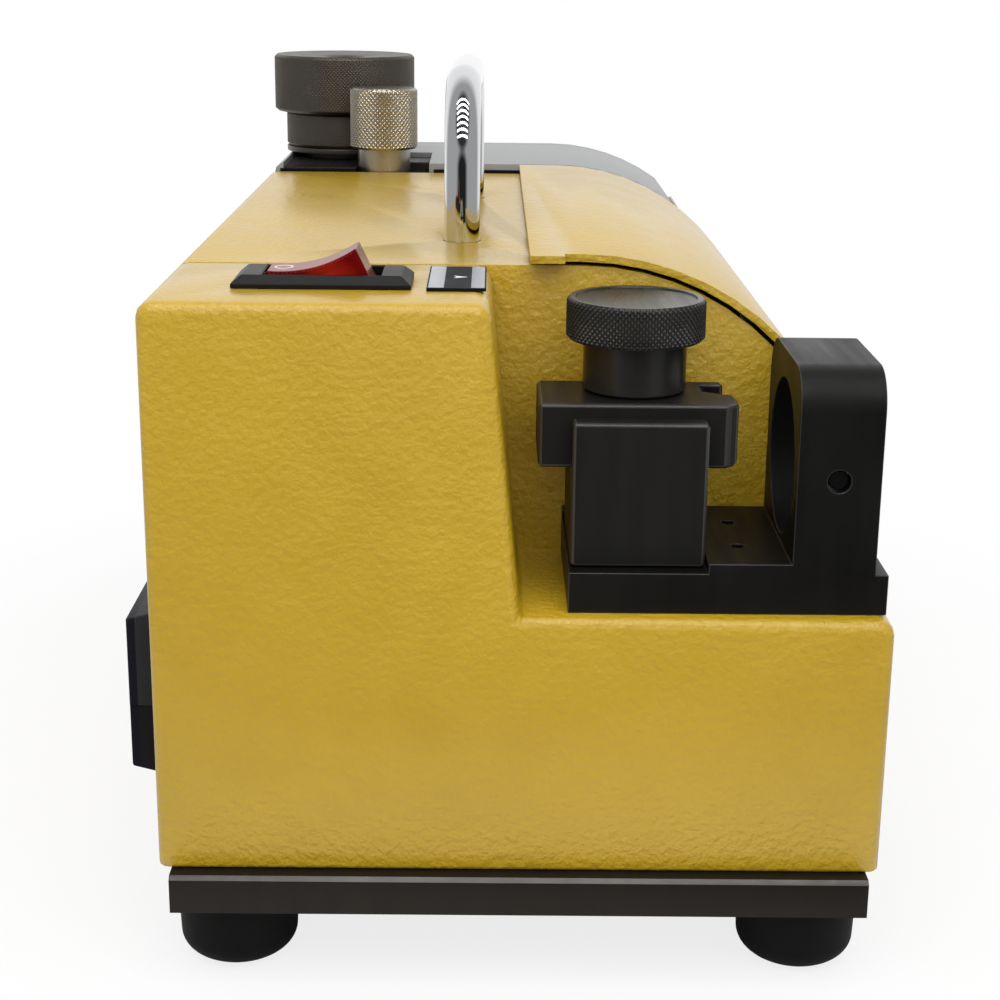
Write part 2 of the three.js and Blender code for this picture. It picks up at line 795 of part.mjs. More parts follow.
function addSwitch() {
  const x = [bezelLeftX, bezelLeftX + bezelLength];
  const y = [bezelFrontY, bezelFrontY + bezelWidth];
  const z0 = topZ + gap / 2;
  const rim = [
    [x[0], z0],
    [x[1], z0],
    [x[1] - bezelBevel, z0 + bezelHeight],
    [x[0] + bezelBevel, z0 + bezelHeight],
  ];
  const body = box(switchSpanX(0), switchSpanY(0), [topZ - switchBodyDepth, z0 + gap]);
  const wellX = switchSpanX(-wellWall);
  const wellZ = [topZ - switchBodyDepth + wellFloor, z0 + bezelHeight + overrun];
  const well = box(wellX, switchSpanY(-wellWall), wellZ);
  piece("switch_body", cut(joined(prism(rim, "y", ...y), body), well), finishes.blackPlastic);
  const middle = (y[0] + y[1]) / 2;
  const dip = (share) => rockerMiddleZ + (rockerTipZ - rockerMiddleZ) * share ** 2;
  const crown = Array.from({ length: crownSteps + 1 }, (_, i) => {
    const share = 1 - (2 * i) / crownSteps;
    return [rockerTipX * share, dip(share)];
  });
  const outline = [
    ...arc([0, 0], rockerHubRadius, rockerHubStart, rockerHubEnd, crownSteps),
    [rockerFootX, rockerFootZ],
    ...crown,
    [-rockerFootX, rockerFootZ],
  ];
  const tilt = radians(rockerRestTilt);
  const placed = outline.map(([x, z]) => [
    rockerPivotX + x * Math.cos(tilt) - z * Math.sin(tilt),
    rockerPivotZ + x * Math.sin(tilt) + z * Math.cos(tilt),
  ]);
  const rocker = prism(placed, "y", middle - rockerWidth / 2, middle + rockerWidth / 2);
  piece("switch_rocker", rocker, finishes.redLens);
}

function addArrowPlate() {
  const x = [arrowPlateLeftX, arrowPlateLeftX + arrowPlateWidth];
  const y = [arrowPlateFrontY, arrowPlateFrontY + arrowPlateDepth];
  const z = [topZ + gap / 2, topZ + gap / 2 + arrowPlateThickness];
  piece("arrow_plate", box(x, y, z), finishes.printedPlate);
}

// Power inlet
function inletSpanY(margin) {
  return [inletFrontY + margin, inletFrontY + inletWidth - margin];
}

function inletSpanZ(margin) {
  const low = bodyBottomZ + inletRise;
  return [low + margin, low + inletHeight - margin];
}

function addInlet() {
  const [z0, z1] = inletSpanZ(0);
  const rim = [
    [-inletReach, z0 + inletBevel],
    [-inletReach, z1 - inletBevel],
    [-gap / 2, z1],
    [-gap / 2, z0],
  ];
  const flange = prism(rim, "y", ...inletSpanY(0));
  const body = box([-gap, inletBodyDepth], inletSpanY(inletBodyInset), inletSpanZ(inletBodyInset));
  const middle = inletFrontY + inletWidth / 2;
  const socketTop = z1 - socketTopInset;
  const socketY = [middle - socketWidth / 2, middle + socketWidth / 2];
  const socketZ = [socketTop - socketHeight, socketTop];
  const socket = box([-inletReach - overrun, socketDepth - inletReach], socketY, socketZ);
  const drawerZ = [z0 + drawerBottomInset, z0 + drawerBottomInset + drawerHeight];
  const drawerHole = box([-inletReach - overrun, drawerDepth - inletReach], socketY, drawerZ);
  piece("power_inlet", cut(joined(flange, body), socket, drawerHole), finishes.blackPlastic);
  const insideY = [socketY[0] + gap, socketY[1] - gap];
  const drawerX = [-inletReach, drawerDepth - inletReach - gap];
  piece("fuse_drawer", box(drawerX, insideY, [drawerZ[0] + gap, drawerZ[1] - gap]), finishes.blackPlastic);
  const floorX = socketDepth - inletReach - gap;
  const contactZ = socketTop - socketHeight / 2;
  const bladeZ = [contactZ - contactWidth / 2, contactZ + contactWidth / 2];
  const blades = [-contactPitch, 0, contactPitch].map((step) => {
    const bladeY = [middle + step - contactThickness / 2, middle + step + contactThickness / 2];
    return box([floorX - contactLength, floorX], bladeY, bladeZ);
  });
  const carrierZ = [contactZ - contactWidth, contactZ + contactWidth];
  const carrier = box([floorX - contactCarrier, floorX], insideY, carrierZ);
  piece("inlet_contacts", joined(carrier, ...blades), finishes.brass);
}

// Motor
function addMotor() {
  const at = [motorX, 0, motorZ];
  const front = [frontBellFrontY, statorFrontY - gap];
  const rear = [rearBellFrontY + gap, castingFrontY - gasketThickness - gap];
  const stator = tube("y", statorBoreRadius, statorRadius, statorFrontY, rearBellFrontY, at, fineFacets);
  piece("stator", stator, finishes.laminations);
  const bell = (outerY, innerY, hubDepth) => {
    const s = Math.sign(innerY - outerY);
    return turned([
      [shaftRadius + bellShaftClearance, outerY],
      [statorRadius, outerY],
      [statorRadius, innerY],
      [statorRadius - bellWall, innerY],
      [statorRadius - bellWall, outerY + s * bellWall],
      [bellHubRadius, outerY + s * bellWall],
      [bellHubRadius, outerY + s * hubDepth],
      [bearingRadius + gap, outerY + s * hubDepth],
      [bearingRadius + gap, outerY + s * bellWall],
      [shaftRadius + bellShaftClearance, outerY + s * bellWall],
    ], "y", at, fineFacets);
  };
  const hubDepth = bellWall + gap + bearingWidth;
  piece("motor_front_bell", bell(front[0], front[1], hubDepth), finishes.castAluminium);
  piece("motor_rear_bell", bell(rear[1], rear[0], hubDepth), finishes.castAluminium);
  const bearings = [front[0] + bellWall + gap, rear[1] - bellWall - gap - bearingWidth];
  bearings.forEach((y, i) => {
    const seal = (shaftRadius + bearingRadius - bearingGrooveWidth) / 2;
    piece(`bearing_${i + 1}`, turned([
      [shaftRadius + gap, y],
      [seal, y],
      [seal, y + bearingGroove],
      [seal + bearingGrooveWidth, y + bearingGroove],
      [seal + bearingGrooveWidth, y],
      [bearingRadius, y],
      [bearingRadius, y + bearingWidth],
      [shaftRadius + gap, y + bearingWidth],
    ], "y", at), finishes.groundSteel);
  });
  const coreY = (statorFrontY + rearBellFrontY - rotorLength) / 2;
  const tip = wheelRearY + 2 * flangeThickness + wheelNutThickness + shaftTail;
  const shaft = turned([
    [0, front[0] + bellWall],
    [shaftRadius, front[0] + bellWall],
    [shaftRadius, coreY - overrun],
    [shaftCoreRadius, coreY - overrun],
    [shaftCoreRadius, coreY + rotorLength + overrun],
    [shaftRadius, coreY + rotorLength + overrun],
    [shaftRadius, tip],
    [0, tip],
  ], "y", at);
  piece("motor_shaft", shaft, finishes.groundSteel);
  const coreRadii = [shaftCoreRadius + gap, statorBoreRadius - rotorAirGap];
  piece("rotor_core", tube("y", ...coreRadii, coreY, coreY + rotorLength, at), finishes.laminations);
  const coilRadii = [coilRadius - coilSection, coilRadius + coilSection / 2];
  const coilAt = (y) => tube("y", ...coilRadii, y, y + coilSection, at);
  piece("coil_front", coilAt(statorFrontY - gap - coilSection), finishes.copper);
  piece("coil_rear", coilAt(rearBellFrontY + gap), finishes.copper);
  const fanY = front[0] - fanClearance - fanLength;
  const stub = rod("y", fanStubRadius, fanY, front[0] + bellWall - gap, at);
  const fanSpan = [fanY, fanY + fanLength];
  const blades = Array.from({ length: fanBlades }, (_, i) => {
    const blade = box([fanHubRadius - fanBladeThickness, fanRadius], fanSpan, [0, fanBladeThickness]);
    return blade.rotate([0, (360 * i) / fanBlades, 0]).translate(at);
  });
  const disc = rod("y", fanRadius, fanSpan[1] - fanBladeThickness, fanSpan[1], at);
  const fan = joined(disc, stub, rod("y", fanHubRadius, ...fanSpan, at), ...blades);
  piece("cooling_fan", fan, finishes.blackPlastic);
  const canZ = bodyBottomZ + capacitorRadius + gap;
  const can = turned([
    [0, 0],
    [capacitorRadius - capacitorCrimp, 0],
    [capacitorRadius, capacitorCrimp],
    [capacitorRadius, capacitorLength],
    [0, capacitorLength],
  ], "y", [capacitorX, capacitorFrontY, canZ]);
  piece("run_capacitor", can, finishes.greyPlastic);
}

// Wheel housing: outline runs anticlockwise in (x, z)
function slantTop() {
  const turn = radians(castingFacetStart);
  return [arcCentreX + lidOuterRadius * Math.cos(turn), arcCentreZ + lidOuterRadius * Math.sin(turn)];
}

function castingOutline() {
  const [fx, fz] = slantTop();
  const drop = (castingRightX - fx) * Math.tan(radians(castingFacetAngle));
  return [
    [castingLeftX, castingBottomZ],
    [castingRightX, castingBottomZ],
    [castingRightX, fz - drop],
    ...arc([arcCentreX, arcCentreZ], lidOuterRadius, castingFacetStart, 90, bendSteps),
    [castingLeftX, lidTopZ, cornerRadius],
  ];
}

// Middle of the port on the slanted side
function anglePort() {
  const [fx, fz] = slantTop();
  const angle = radians(castingFacetAngle);
  const length = (castingRightX - fx) / Math.cos(angle);
  const offset = length / 2 - anglePortUphill;
  return { x: fx + Math.cos(angle) * offset, z: fz - Math.sin(angle) * offset };
}

// A turned form standing out of the slanted side, its height measured along the port's axis
function onSlant(profile, sides) {
  const port = anglePort();
  const form = turned(profile, "z", [0, 0, 0], sides);
  return form.rotate([0, castingFacetAngle, 0]).translate([port.x, portY(), port.z]);
}

function portY() {
  return (wheelFrontY + wheelRearY) / 2;
}

// Port block seen from above: square front, round end behind the chuck
function portBlock(spare, frontY, low, high) {
  const radius = chuckX - portBlockLeftX + spare;
  const shoulderY = castingFrontY + portShoulder + spare;
  const outline = [
    [portBlockLeftX - spare, frontY],
    [portBlockRightX + spare, frontY],
    [portBlockRightX + spare, shoulderY],
    [chuckX + radius, shoulderY],
    ...arc([chuckX, chuckY], radius, 0, 180, crownSteps),
  ];
  return prism(outline, "z", low, high);
}

function thumbNotch() {
  const reach = thumbNeckRadius + gap;
  return box([thumbX - reach, portBlockRightX + overrun], [bodyLength, thumbY + reach],
    [thumbSeatZ, lidTopZ + overrun]);
}

function coverScrewPlaces() {
  const inner = coverBossInset;
  const low = castingBottomZ + inner;
  return [
    [castingLeftX + inner, low],
    [castingRightX - inner, low],
    [castingLeftX + inner, portBlockTopZ - portBlockThickness - 2 * inner],
    [castingRightX - inner, low + coverRightScrewRise],
  ];
}

function addWheelHousing() {
  const outline = castingOutline();
  const wall = inset(outline, castingWall);
  const frontY = bodyLength + gap;
  const gasketRing = cut(
    prism(inset(outline, gasketInset), "y", frontY, castingFrontY - gap),
    prism(inset(outline, gasketInset + gasketWall), "y", frontY - overrun, castingFrontY + overrun));
  piece("housing_gasket", cut(gasketRing, thumbNotch()), finishes.rubber);
  const block = prism(rounded(outline), "y", castingFrontY, castingRearY);
  const hollow = prism(wall, "y", castingFrontY + castingWall, castingRearY + overrun);
  const bosses = coverScrewPlaces().map(([x, z]) =>
    rod("y", coverBossRadius, castingRearY - coverScrewLength, castingRearY, [x, 0, z], smallFacets));
  const screwTipY = coverRearY - coverScrewLength - overrun;
  const screwHoles = coverScrewPlaces().map(([x, z]) =>
    rod("y", coverScrewRadius + gap, screwTipY, castingRearY + overrun, [x, 0, z], smallFacets));
  const shaftHole = rod("y", bellHubRadius, castingFrontY - overrun, castingFrontY + castingWall + overrun,
    [motorX, 0, motorZ]);
  const blockLow = portBlockTopZ - portBlockThickness - gap;
  const blockHole = portBlock(gap, castingFrontY - overrun, blockLow, lidTopZ + overrun);
  const slantRadius = sleeveOuter() + gap;
  const slantHole = onSlant([
    [0, -anglePortLength - overrun],
    [slantRadius, -anglePortLength - overrun],
    [slantRadius, overrun],
    [0, overrun],
  ]);
  const shell = joined(cut(block, hollow), ...bosses.map((boss) => boss.intersect(block)));
  piece("wheel_housing", cut(shell, ...screwHoles, shaftHole, blockHole, slantHole), finishes.castAluminium);
  const coverHoles = coverScrewPlaces().map(([x, z]) =>
    rod("y", coverScrewRadius + gap, castingRearY - overrun, coverRearY + overrun, [x, 0, z], smallFacets));
  const cover = prism(rounded(outline), "y", castingRearY + gap, coverRearY);
  piece("wheel_cover", cut(cover, ...coverHoles), finishes.castAluminium);
  coverScrewPlaces().forEach(([x, z], i) => {
    const tip = coverRearY - coverScrewLength;
    const headY = coverRearY + gap;
    const screw = turned([
      [0, tip],
      [coverScrewRadius, tip],
      [coverScrewRadius, headY],
      [coverScrewHeadRadius, headY],
      [coverScrewHeadRadius, headY + coverScrewHeadHeight],
      [coverScrewSocketRadius, headY + coverScrewHeadHeight],
      [coverScrewSocketRadius, headY + coverScrewHeadHeight - coverScrewSocketDepth],
      [0, headY + coverScrewHeadHeight - coverScrewSocketDepth],
    ], "y", [x, 0, z], smallFacets);
    piece(`cover_screw_${i + 1}`, screw, finishes.blackOxide);
  });
}

function addWheel() {
  const at = [motorX, 0, motorZ];
  const bore = shaftRadius + gap;
  const wheel = turned([
    [bore, wheelFrontY],
    [wheelHubRadius, wheelFrontY],
    [wheelRadius - wheelRim, wheelFrontY],
    [wheelRadius, wheelFrontY],
    [wheelRadius, wheelRearY],
    [bore, wheelRearY],
  ], "y", at, fineFacets);
  piece("grinding_wheel", wheel, finishes.abrasive);
  const flange = (name, from) =>
    piece(name, tube("y", bore, flangeRadius, from, from + flangeThickness - gap, at), finishes.steel);
  flange("wheel_flange_front", wheelFrontY - flangeThickness);
  flange("wheel_flange_rear", wheelRearY + gap);
  const nutY = wheelRearY + flangeThickness + gap;
  const nut = hexNut("y", bore, wheelNutRadius, nutY, nutY + wheelNutThickness, at);
  piece("wheel_nut", nut, finishes.steel);
}

// Upright chuck port
function sleeveOuter() {
  return chuckNoseRadius + gap + sleeveWall;
}

function addChuckPort() {
  const at = [chuckX, chuckY, 0];
  const low = portBlockTopZ - portBlockThickness;
  const through = [low - overrun, portBlockTopZ + overrun];
  const block = cut(portBlock(0, castingFrontY, low, portBlockTopZ),
    rod("z", sleeveOuter() + gap, ...through, at),
    rod("z", thumbStudRadius + gap, ...through, [thumbX, thumbY, 0], smallFacets),
    thumbNotch());
  piece("port_block", block, finishes.blackOxide);
  const inner = chuckNoseRadius + gap;
  const sleeve = turned([
    [inner, topZ - sleeveDepth],
    [sleeveOuter(), topZ - sleeveDepth],
    [sleeveOuter(), lidTopZ + gap],
    [chuckBarrelRadius, lidTopZ + gap],
    [chuckBarrelRadius, topZ + sleeveRise],
    [inner, topZ + sleeveRise],
  ], "z", at, fineFacets);
  piece("chuck_sleeve", sleeve, finishes.chuckGrey);
  const neckZ = thumbSeatZ + gap;
  const headZ = neckZ + thumbNeckHeight;
  const top = headZ + thumbHeadHeight;
  const thumb = turned([
    [0, thumbSeatZ - thumbStudLength],
    [thumbStudRadius, thumbSeatZ - thumbStudLength],
    [thumbStudRadius, neckZ],
    [thumbNeckRadius, neckZ],
    [thumbNeckRadius, headZ],
    [thumbHeadRadius - thumbChamfer, headZ],
    [thumbHeadRadius, headZ + thumbChamfer],
    [thumbHeadRadius, top - thumbChamfer],
    [thumbHeadRadius - thumbChamfer, top],
    [0, top],
  ], "z", [thumbX, thumbY, 0]);
  piece("thumb_screw", thumb, finishes.nickel);
}

function addChuck() {
  const at = [chuckX, chuckY, 0];
  const shoulder = topZ + chuckBarrelRise;
  const capTop = shoulder + gap + chuckCapHeight;
  const noseZ = topZ - chuckNoseLength;
  const boreR = colletCollarRadius + gap;
  const boreFloor = shoulder - colletLength - 2 * gap;
  const body = turned([
    [chuckBoreRadius, noseZ],
    [chuckNoseRadius, noseZ],
    [chuckNoseRadius, topZ + sleeveRise + gap],
    [chuckBarrelRadius, topZ + sleeveRise + gap],
    [chuckBarrelRadius, shoulder],
    [boreR, shoulder],
    [boreR, boreFloor],
    [chuckBoreRadius, boreFloor],
  ], "z", at, fineFacets);
  piece("chuck_body", body, finishes.chuckGrey);
  const capBottom = shoulder + gap;
  const cap = turned([
    [chuckBoreRadius, capBottom],
    [chuckCapRadius - thumbChamfer, capBottom],
    [chuckCapRadius, capBottom + thumbChamfer],
    [chuckCapRadius, capTop - thumbChamfer],
    [chuckCapRadius - thumbChamfer, capTop],
    [chuckDishRadius, capTop],
    [chuckDishRadius, capTop - chuckDishDepth],
    [chuckBoreRadius, capTop - chuckDishDepth],
  ], "z", at, fineFacets);
  piece("chuck_cap", cap, finishes.chuckGrey);
  colletAt("chuck_collet", chuckColletBore, chuckX, chuckY, boreFloor + gap);
}

function addAnglePort() {
  const inner = chuckNoseRadius + gap;
  const port = onSlant([
    [inner, -anglePortLength],
    [sleeveOuter(), -anglePortLength],
    [sleeveOuter(), gap],
    [sleeveOuter() + anglePortLip, gap],
    [sleeveOuter() + anglePortLip, anglePortRise],
    [inner, anglePortRise],
  ], fineFacets);
  piece("angle_port_sleeve", port, finishes.nickel);
}

// Setting gauge
function addGauge() {
  const side = rounded([
    [gaugeFrontY, gaugeBottomZ],
    [gaugeRearY, gaugeBottomZ],
    [gaugeRearY, gaugeTopZ, uprightRadius],
    [gaugeFrontY, gaugeTopZ, uprightRadius],
  ]);
  const upright = prism(side, "x", uprightLeftX, uprightRightX);
  const base = box([gaugeLeftX, gaugeRightX], [gaugeFrontY, gaugeRearY], [gaugeBottomZ, gaugeBaseTopZ]);
  const seatX = [gaugeLeftX - overrun, postLeftX + postWidth + gap];
  const seatY = [gaugeFrontY - overrun, postFrontY + postDepth + gap];
  const seat = box(seatX, seatY, [gaugeSeatZ, gaugeTopZ]);
  const ledge = box([uprightRightX, gaugeRightX + overrun], [gaugeFrontY - overrun, gaugeRearY + overrun],
    [gaugeSeatZ, gaugeTopZ]);
  const bore = turned([
    [0, uprightLeftX - gap],
    [gaugeBoreRadius + gaugeBoreChamfer + gap, uprightLeftX - gap],
    [gaugeBoreRadius, uprightLeftX + gaugeBoreChamfer],
    [gaugeBoreRadius, uprightRightX + overrun],
    [0, uprightRightX + overrun],
  ], "x", [0, gaugeCentreY, gaugeBoreZ], fineFacets);
  const pinX = (uprightLeftX + uprightRightX) / 2;
  const pinAt = [pinX, 0, gaugeBoreZ];
  const boreFrontY = gaugeCentreY - gaugeBoreRadius;
  const pinHole = rod("y", keyPinHoleRadius, gaugeFrontY - overrun, boreFrontY + overrun, pinAt, smallFacets);
  const holes = [-dowelHolePitch / 2, dowelHolePitch / 2].map((step) =>
    rod("z", dowelHoleRadius, gaugeBottomZ + dowelHoleFloor, gaugeTopZ, [dowelHoleX, gaugeCentreY + step, 0],
      smallFacets));
  const bracket = cut(joined(base, upright), seat, ledge, bore, pinHole, ...holes);
  piece("gauge_bracket", bracket, finishes.blackOxide);
  const pinY = [gaugeFrontY + keyPinSunk, boreFrontY + keyPinReach + keyPinSunk];
  piece("gauge_key_pin", rod("y", keyPinRadius, ...pinY, pinAt, smallFacets), finishes.blackOxide);
  const postX = [postLeftX, postLeftX + postWidth];
  const post = box(postX, [postFrontY, postFrontY + postDepth], [gaugeSeatZ + gap / 2, postTopZ]);
  const channelY = [blockFrontY - gap, blockFrontY + blockDepth + gap];
  const channelX = [postX[0] - overrun, postX[1] + overrun];
  const channelTool = box(channelX, channelY, [blockBottomZ - gap, postTopZ + overrun]);
  const studAt = [knobX, knobY, 0];
  const studZ = [blockTopZ - knobStudLength - gap, postTopZ + overrun];
  const studHole = rod("z", knobStudRadius + gap, ...studZ, studAt, smallFacets);
  piece("gauge_post", cut(post, channelTool, studHole), finishes.blackOxide);
  const [bx, by, bz] = [
    [blockLeftX, blockLeftX + blockLength],
    [blockFrontY, blockFrontY + blockDepth],
    [blockBottomZ, blockTopZ],
  ];
  const slot = prism([
    [bx[1] - stopSlotDepth, by[1] - stopJaw],
    [bx[1] - stopSlotDepth, by[1] - stopJaw - stopSlotInner],
    [bx[1] + overrun, by[1] - stopJaw - stopSlotMouth - overrun],
    [bx[1] + overrun, by[1] - stopJaw],
  ], "z", bz[0] - overrun, bz[1] + overrun);
  const through = [bz[0] - overrun, bz[1] + overrun];
  const jawX = [bx[1] - stopJawSetback, bx[1] + overrun];
  const jawTrim = box(jawX, [by[1] - stopJaw - overrun, by[1] + overrun], through);
  const half = knobStudRadius + gap;
  const slotX = [knobX - blockTravel, knobX + blockTravel];
  const slotEnds = slotX.map((x) => rod("z", half, ...through, [x, knobY, 0], smallFacets));
  const studSlot = joined(box(slotX, [knobY - half, knobY + half], through), ...slotEnds);
  const [y0, y1] = by;
  const [z0, z1] = bz;
  const c = blockChamfer;
  const soft = [[y0, z0], [y1, z0], [y1, z1 - c], [y1 - c, z1], [y0 + c, z1], [y0, z1 - c]];
  const slideBlock = cut(prism(soft, "x", ...bx), slot, jawTrim, studSlot);
  piece("slide_block", slideBlock, finishes.blackOxide);
  const neckTop = blockTopZ + gap + knobNeckHeight;
  const headTop = neckTop + knobHeadHeight;
  const knob = turned([
    [0, blockTopZ - knobStudLength],
    [knobStudRadius, blockTopZ - knobStudLength],
    [knobStudRadius, blockTopZ + gap],
    [knobNeckRadius, blockTopZ + gap],
    [knobNeckRadius, neckTop],
    [knobHeadRadius - knobChamfer, neckTop],
    [knobHeadRadius, neckTop + knobChamfer],
    [knobHeadRadius, headTop - knobChamfer],
    [knobHeadRadius - knobChamfer, headTop],
    [knobHeadRadius - knobDishInset - knobChamfer, headTop],
    [knobHeadRadius - knobDishInset - knobChamfer, headTop - knobDishDepth],
    [0, headTop - knobDishDepth],
  ], "z", studAt, fineFacets);
  piece("gauge_knob", knob, finishes.knobGrey);
}

addBasePlate();
addFeet();
addFrontCover();
addMainHousing();
addLid();
addTray();
addCollets();
addHandle();
addSwitch();
addArrowPlate();
addInlet();
addMotor();
addWheelHousing();
addWheel();
addChuckPort();
addChuck();
addAnglePort();
addGauge();

// Centre the machine over its footprint, standing on the floor
const bounds = new THREE.Box3().setFromObject(machine);
const middle = bounds.getCenter(new THREE.Vector3());
machine.children.forEach((mesh) => mesh.geometry.translate(-middle.x, -middle.y, -bounds.min.z));

export default machine;
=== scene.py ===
import json
import math

import bmesh
import bpy
from mathutils import Matrix, Vector


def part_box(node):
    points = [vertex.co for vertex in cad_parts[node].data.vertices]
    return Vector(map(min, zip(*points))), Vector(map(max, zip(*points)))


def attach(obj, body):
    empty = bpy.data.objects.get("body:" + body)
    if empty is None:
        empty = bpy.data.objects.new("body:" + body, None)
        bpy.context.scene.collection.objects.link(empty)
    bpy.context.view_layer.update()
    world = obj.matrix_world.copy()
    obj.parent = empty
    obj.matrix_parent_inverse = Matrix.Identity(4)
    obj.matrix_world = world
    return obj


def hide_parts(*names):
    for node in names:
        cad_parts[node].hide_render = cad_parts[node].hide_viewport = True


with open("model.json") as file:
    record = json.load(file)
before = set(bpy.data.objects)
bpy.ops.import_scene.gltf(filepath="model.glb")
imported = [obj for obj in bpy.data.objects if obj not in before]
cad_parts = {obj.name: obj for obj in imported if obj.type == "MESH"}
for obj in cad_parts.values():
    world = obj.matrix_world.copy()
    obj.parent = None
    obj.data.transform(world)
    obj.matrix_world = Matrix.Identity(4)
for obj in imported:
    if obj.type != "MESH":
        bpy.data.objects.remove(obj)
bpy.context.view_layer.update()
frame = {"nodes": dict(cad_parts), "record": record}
nodes = frame["nodes"]
scene = bpy.context.scene

# Places are in mm from the body's left side, its front face and the floor
MM = 0.001
COVER_LOW, COVER_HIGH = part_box("front_cover")
ORIGIN = Vector((COVER_LOW.x, COVER_LOW.y, 0))
TOP = COVER_HIGH.z / MM
# Between parts that fit together, and how far a cut runs past the face that it opens
GAP = 0.3
OVER = 2
# Edges sharper than this many degrees stay crisp on turned pieces
CRISP = 38


def at(x, y, z):
    return ORIGIN + Vector((x, y, z)) * MM


class Span:
    """Where a CAD node starts and ends along each axis."""

    def __init__(self, node):
        low, high = ((corner - ORIGIN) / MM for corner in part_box(node))
        self.x0, self.y0, self.z0 = low
        self.x1, self.y1, self.z1 = high
        self.cx, self.cy, self.cz = (low + high) / 2
        self.radius = (self.x1 - self.x0) / 2


# Camera, worked out from the photograph's straight edges; placed from the left side, front face and top
CAMERA_TURN = (0.36, 16.33, -0.61)
CAMERA_PLACE = (81.63, -421.97, 77.38)
FOCAL_LENGTH = 1870.8
FRAME_WIDTH = 1000
SENSOR_WIDTH = 36


def make_camera():
    yaw, pitch, roll = map(math.radians, CAMERA_TURN)
    forward = Vector((math.sin(yaw) * math.cos(pitch), math.cos(yaw) * math.cos(pitch), -math.sin(pitch)))
    right = Vector((math.cos(yaw), -math.sin(yaw), 0))
    down = forward.cross(right)
    right_rolled = right * math.cos(roll) + down * math.sin(roll)
    down_rolled = down * math.cos(roll) - right * math.sin(roll)
    data = bpy.data.cameras.new("camera")
    data.sensor_width = SENSOR_WIDTH
    data.lens = FOCAL_LENGTH / FRAME_WIDTH * SENSOR_WIDTH
    data.clip_start = 0.01
    camera = bpy.data.objects.new("camera", data)
    scene.collection.objects.link(camera)
    basis = Matrix((right_rolled, -down_rolled, -forward)).transposed()
    x, y, above_top = CAMERA_PLACE
    camera.matrix_world = Matrix.Translation(at(x, y, TOP + above_top)) @ basis.to_4x4()
    scene.camera = camera


# Node trees
class Tree:
    """Short calls for building a material's nodes."""

    def __init__(self, name):
        self.material = bpy.data.materials.new(name)
        self.material.use_nodes = True
        self.nodes = self.material.node_tree.nodes
        self.links = self.material.node_tree.links
        self.shader = self.nodes["Principled BSDF"]
        self.place = self.nodes.new("ShaderNodeTexCoord").outputs["Object"]

    def put(self, socket, value):
        if hasattr(value, "is_output"):
            self.links.new(value, socket)
        elif hasattr(value, "__len__") and len(value) == 3 and socket.type == "RGBA":
            socket.default_value = (*value, 1)
        else:
            socket.default_value = value

    def set(self, **values):
        for name, value in values.items():
            self.put(self.shader.inputs[name.replace("_", " ").title().replace("Ior", "IOR")], value)
        return self

    def noise(self, scale, detail, roughness=0.5, stretch=None):
        node = self.nodes.new("ShaderNodeTexNoise")
        node.inputs["Scale"].default_value = scale
        node.inputs["Detail"].default_value = detail
        node.inputs["Roughness"].default_value = roughness
        self.links.new(self.mapped(stretch), node.inputs["Vector"])
        return node.outputs["Fac"]

    def cells(self, scale):
        node = self.nodes.new("ShaderNodeTexVoronoi")
        node.inputs["Scale"].default_value = scale
        self.links.new(self.place, node.inputs["Vector"])
        return node.outputs["Distance"]

    def mapped(self, stretch):
        if stretch is None:
            return self.place
        node = self.nodes.new("ShaderNodeMapping")
        node.inputs["Scale"].default_value = stretch
        self.links.new(self.place, node.inputs["Vector"])
        return node.outputs["Vector"]

    def distance(self, point):
        """How far the surface is from a point of the piece, in metres."""
        node = self.nodes.new("ShaderNodeVectorMath")
        node.operation = "DISTANCE"
        self.links.new(self.place, node.inputs[0])
        node.inputs[1].default_value = point
        return node.outputs["Value"]

    def position(self, axis):
        """The surface's place along the piece's own axis 0, 1 or 2, in metres."""
        split = self.nodes.new("ShaderNodeSeparateXYZ")
        self.links.new(self.place, split.inputs[0])
        return split.outputs[axis]

    def facing(self, axis):
        """How far the surface faces along the piece's own axis 0, 1 or 2."""
        split = self.nodes.new("ShaderNodeSeparateXYZ")
        self.links.new(self.nodes.new("ShaderNodeTexCoord").outputs["Normal"], split.inputs[0])
        return split.outputs[axis]

    def ramp(self, fac, *stops):
        node = self.nodes.new("ShaderNodeValToRGB")
        elements = node.color_ramp.elements
        while len(elements) < len(stops):
            elements.new(0.5)
        for element, (where, colour) in zip(elements, stops):
            element.position = where
            element.color = (*colour, 1) if hasattr(colour, "__len__") else (colour, colour, colour, 1)
        self.links.new(fac, node.inputs["Fac"])
        return node.outputs["Color"]

    def math(self, kind, a, b):
        node = self.nodes.new("ShaderNodeMath")
        node.operation = kind
        self.put(node.inputs[0], a)
        self.put(node.inputs[1], b)
        return node.outputs[0]

    def mix(self, fac, a, b):
        node = self.nodes.new("ShaderNodeMix")
        node.data_type = "RGBA"
        self.put(node.inputs[0], fac)
        self.put(node.inputs[6], a)
        self.put(node.inputs[7], b)
        return node.outputs[2]

    def bump(self, height, strength, distance):
        node = self.nodes.new("ShaderNodeBump")
        node.inputs["Strength"].default_value = strength
        node.inputs["Distance"].default_value = distance
        self.links.new(height, node.inputs["Height"])
        return node.outputs["Normal"]

    def edges(self, low, high):
        """Near 1 on sharp outer edges, 0 on flats."""
        geometry = self.nodes.new("ShaderNodeNewGeometry")
        return self.ramp(geometry.outputs["Pointiness"], (low, 0.0), (high, 1.0))


# Materials
def scaled(colour, factor):
    return tuple(channel * factor for channel in colour)


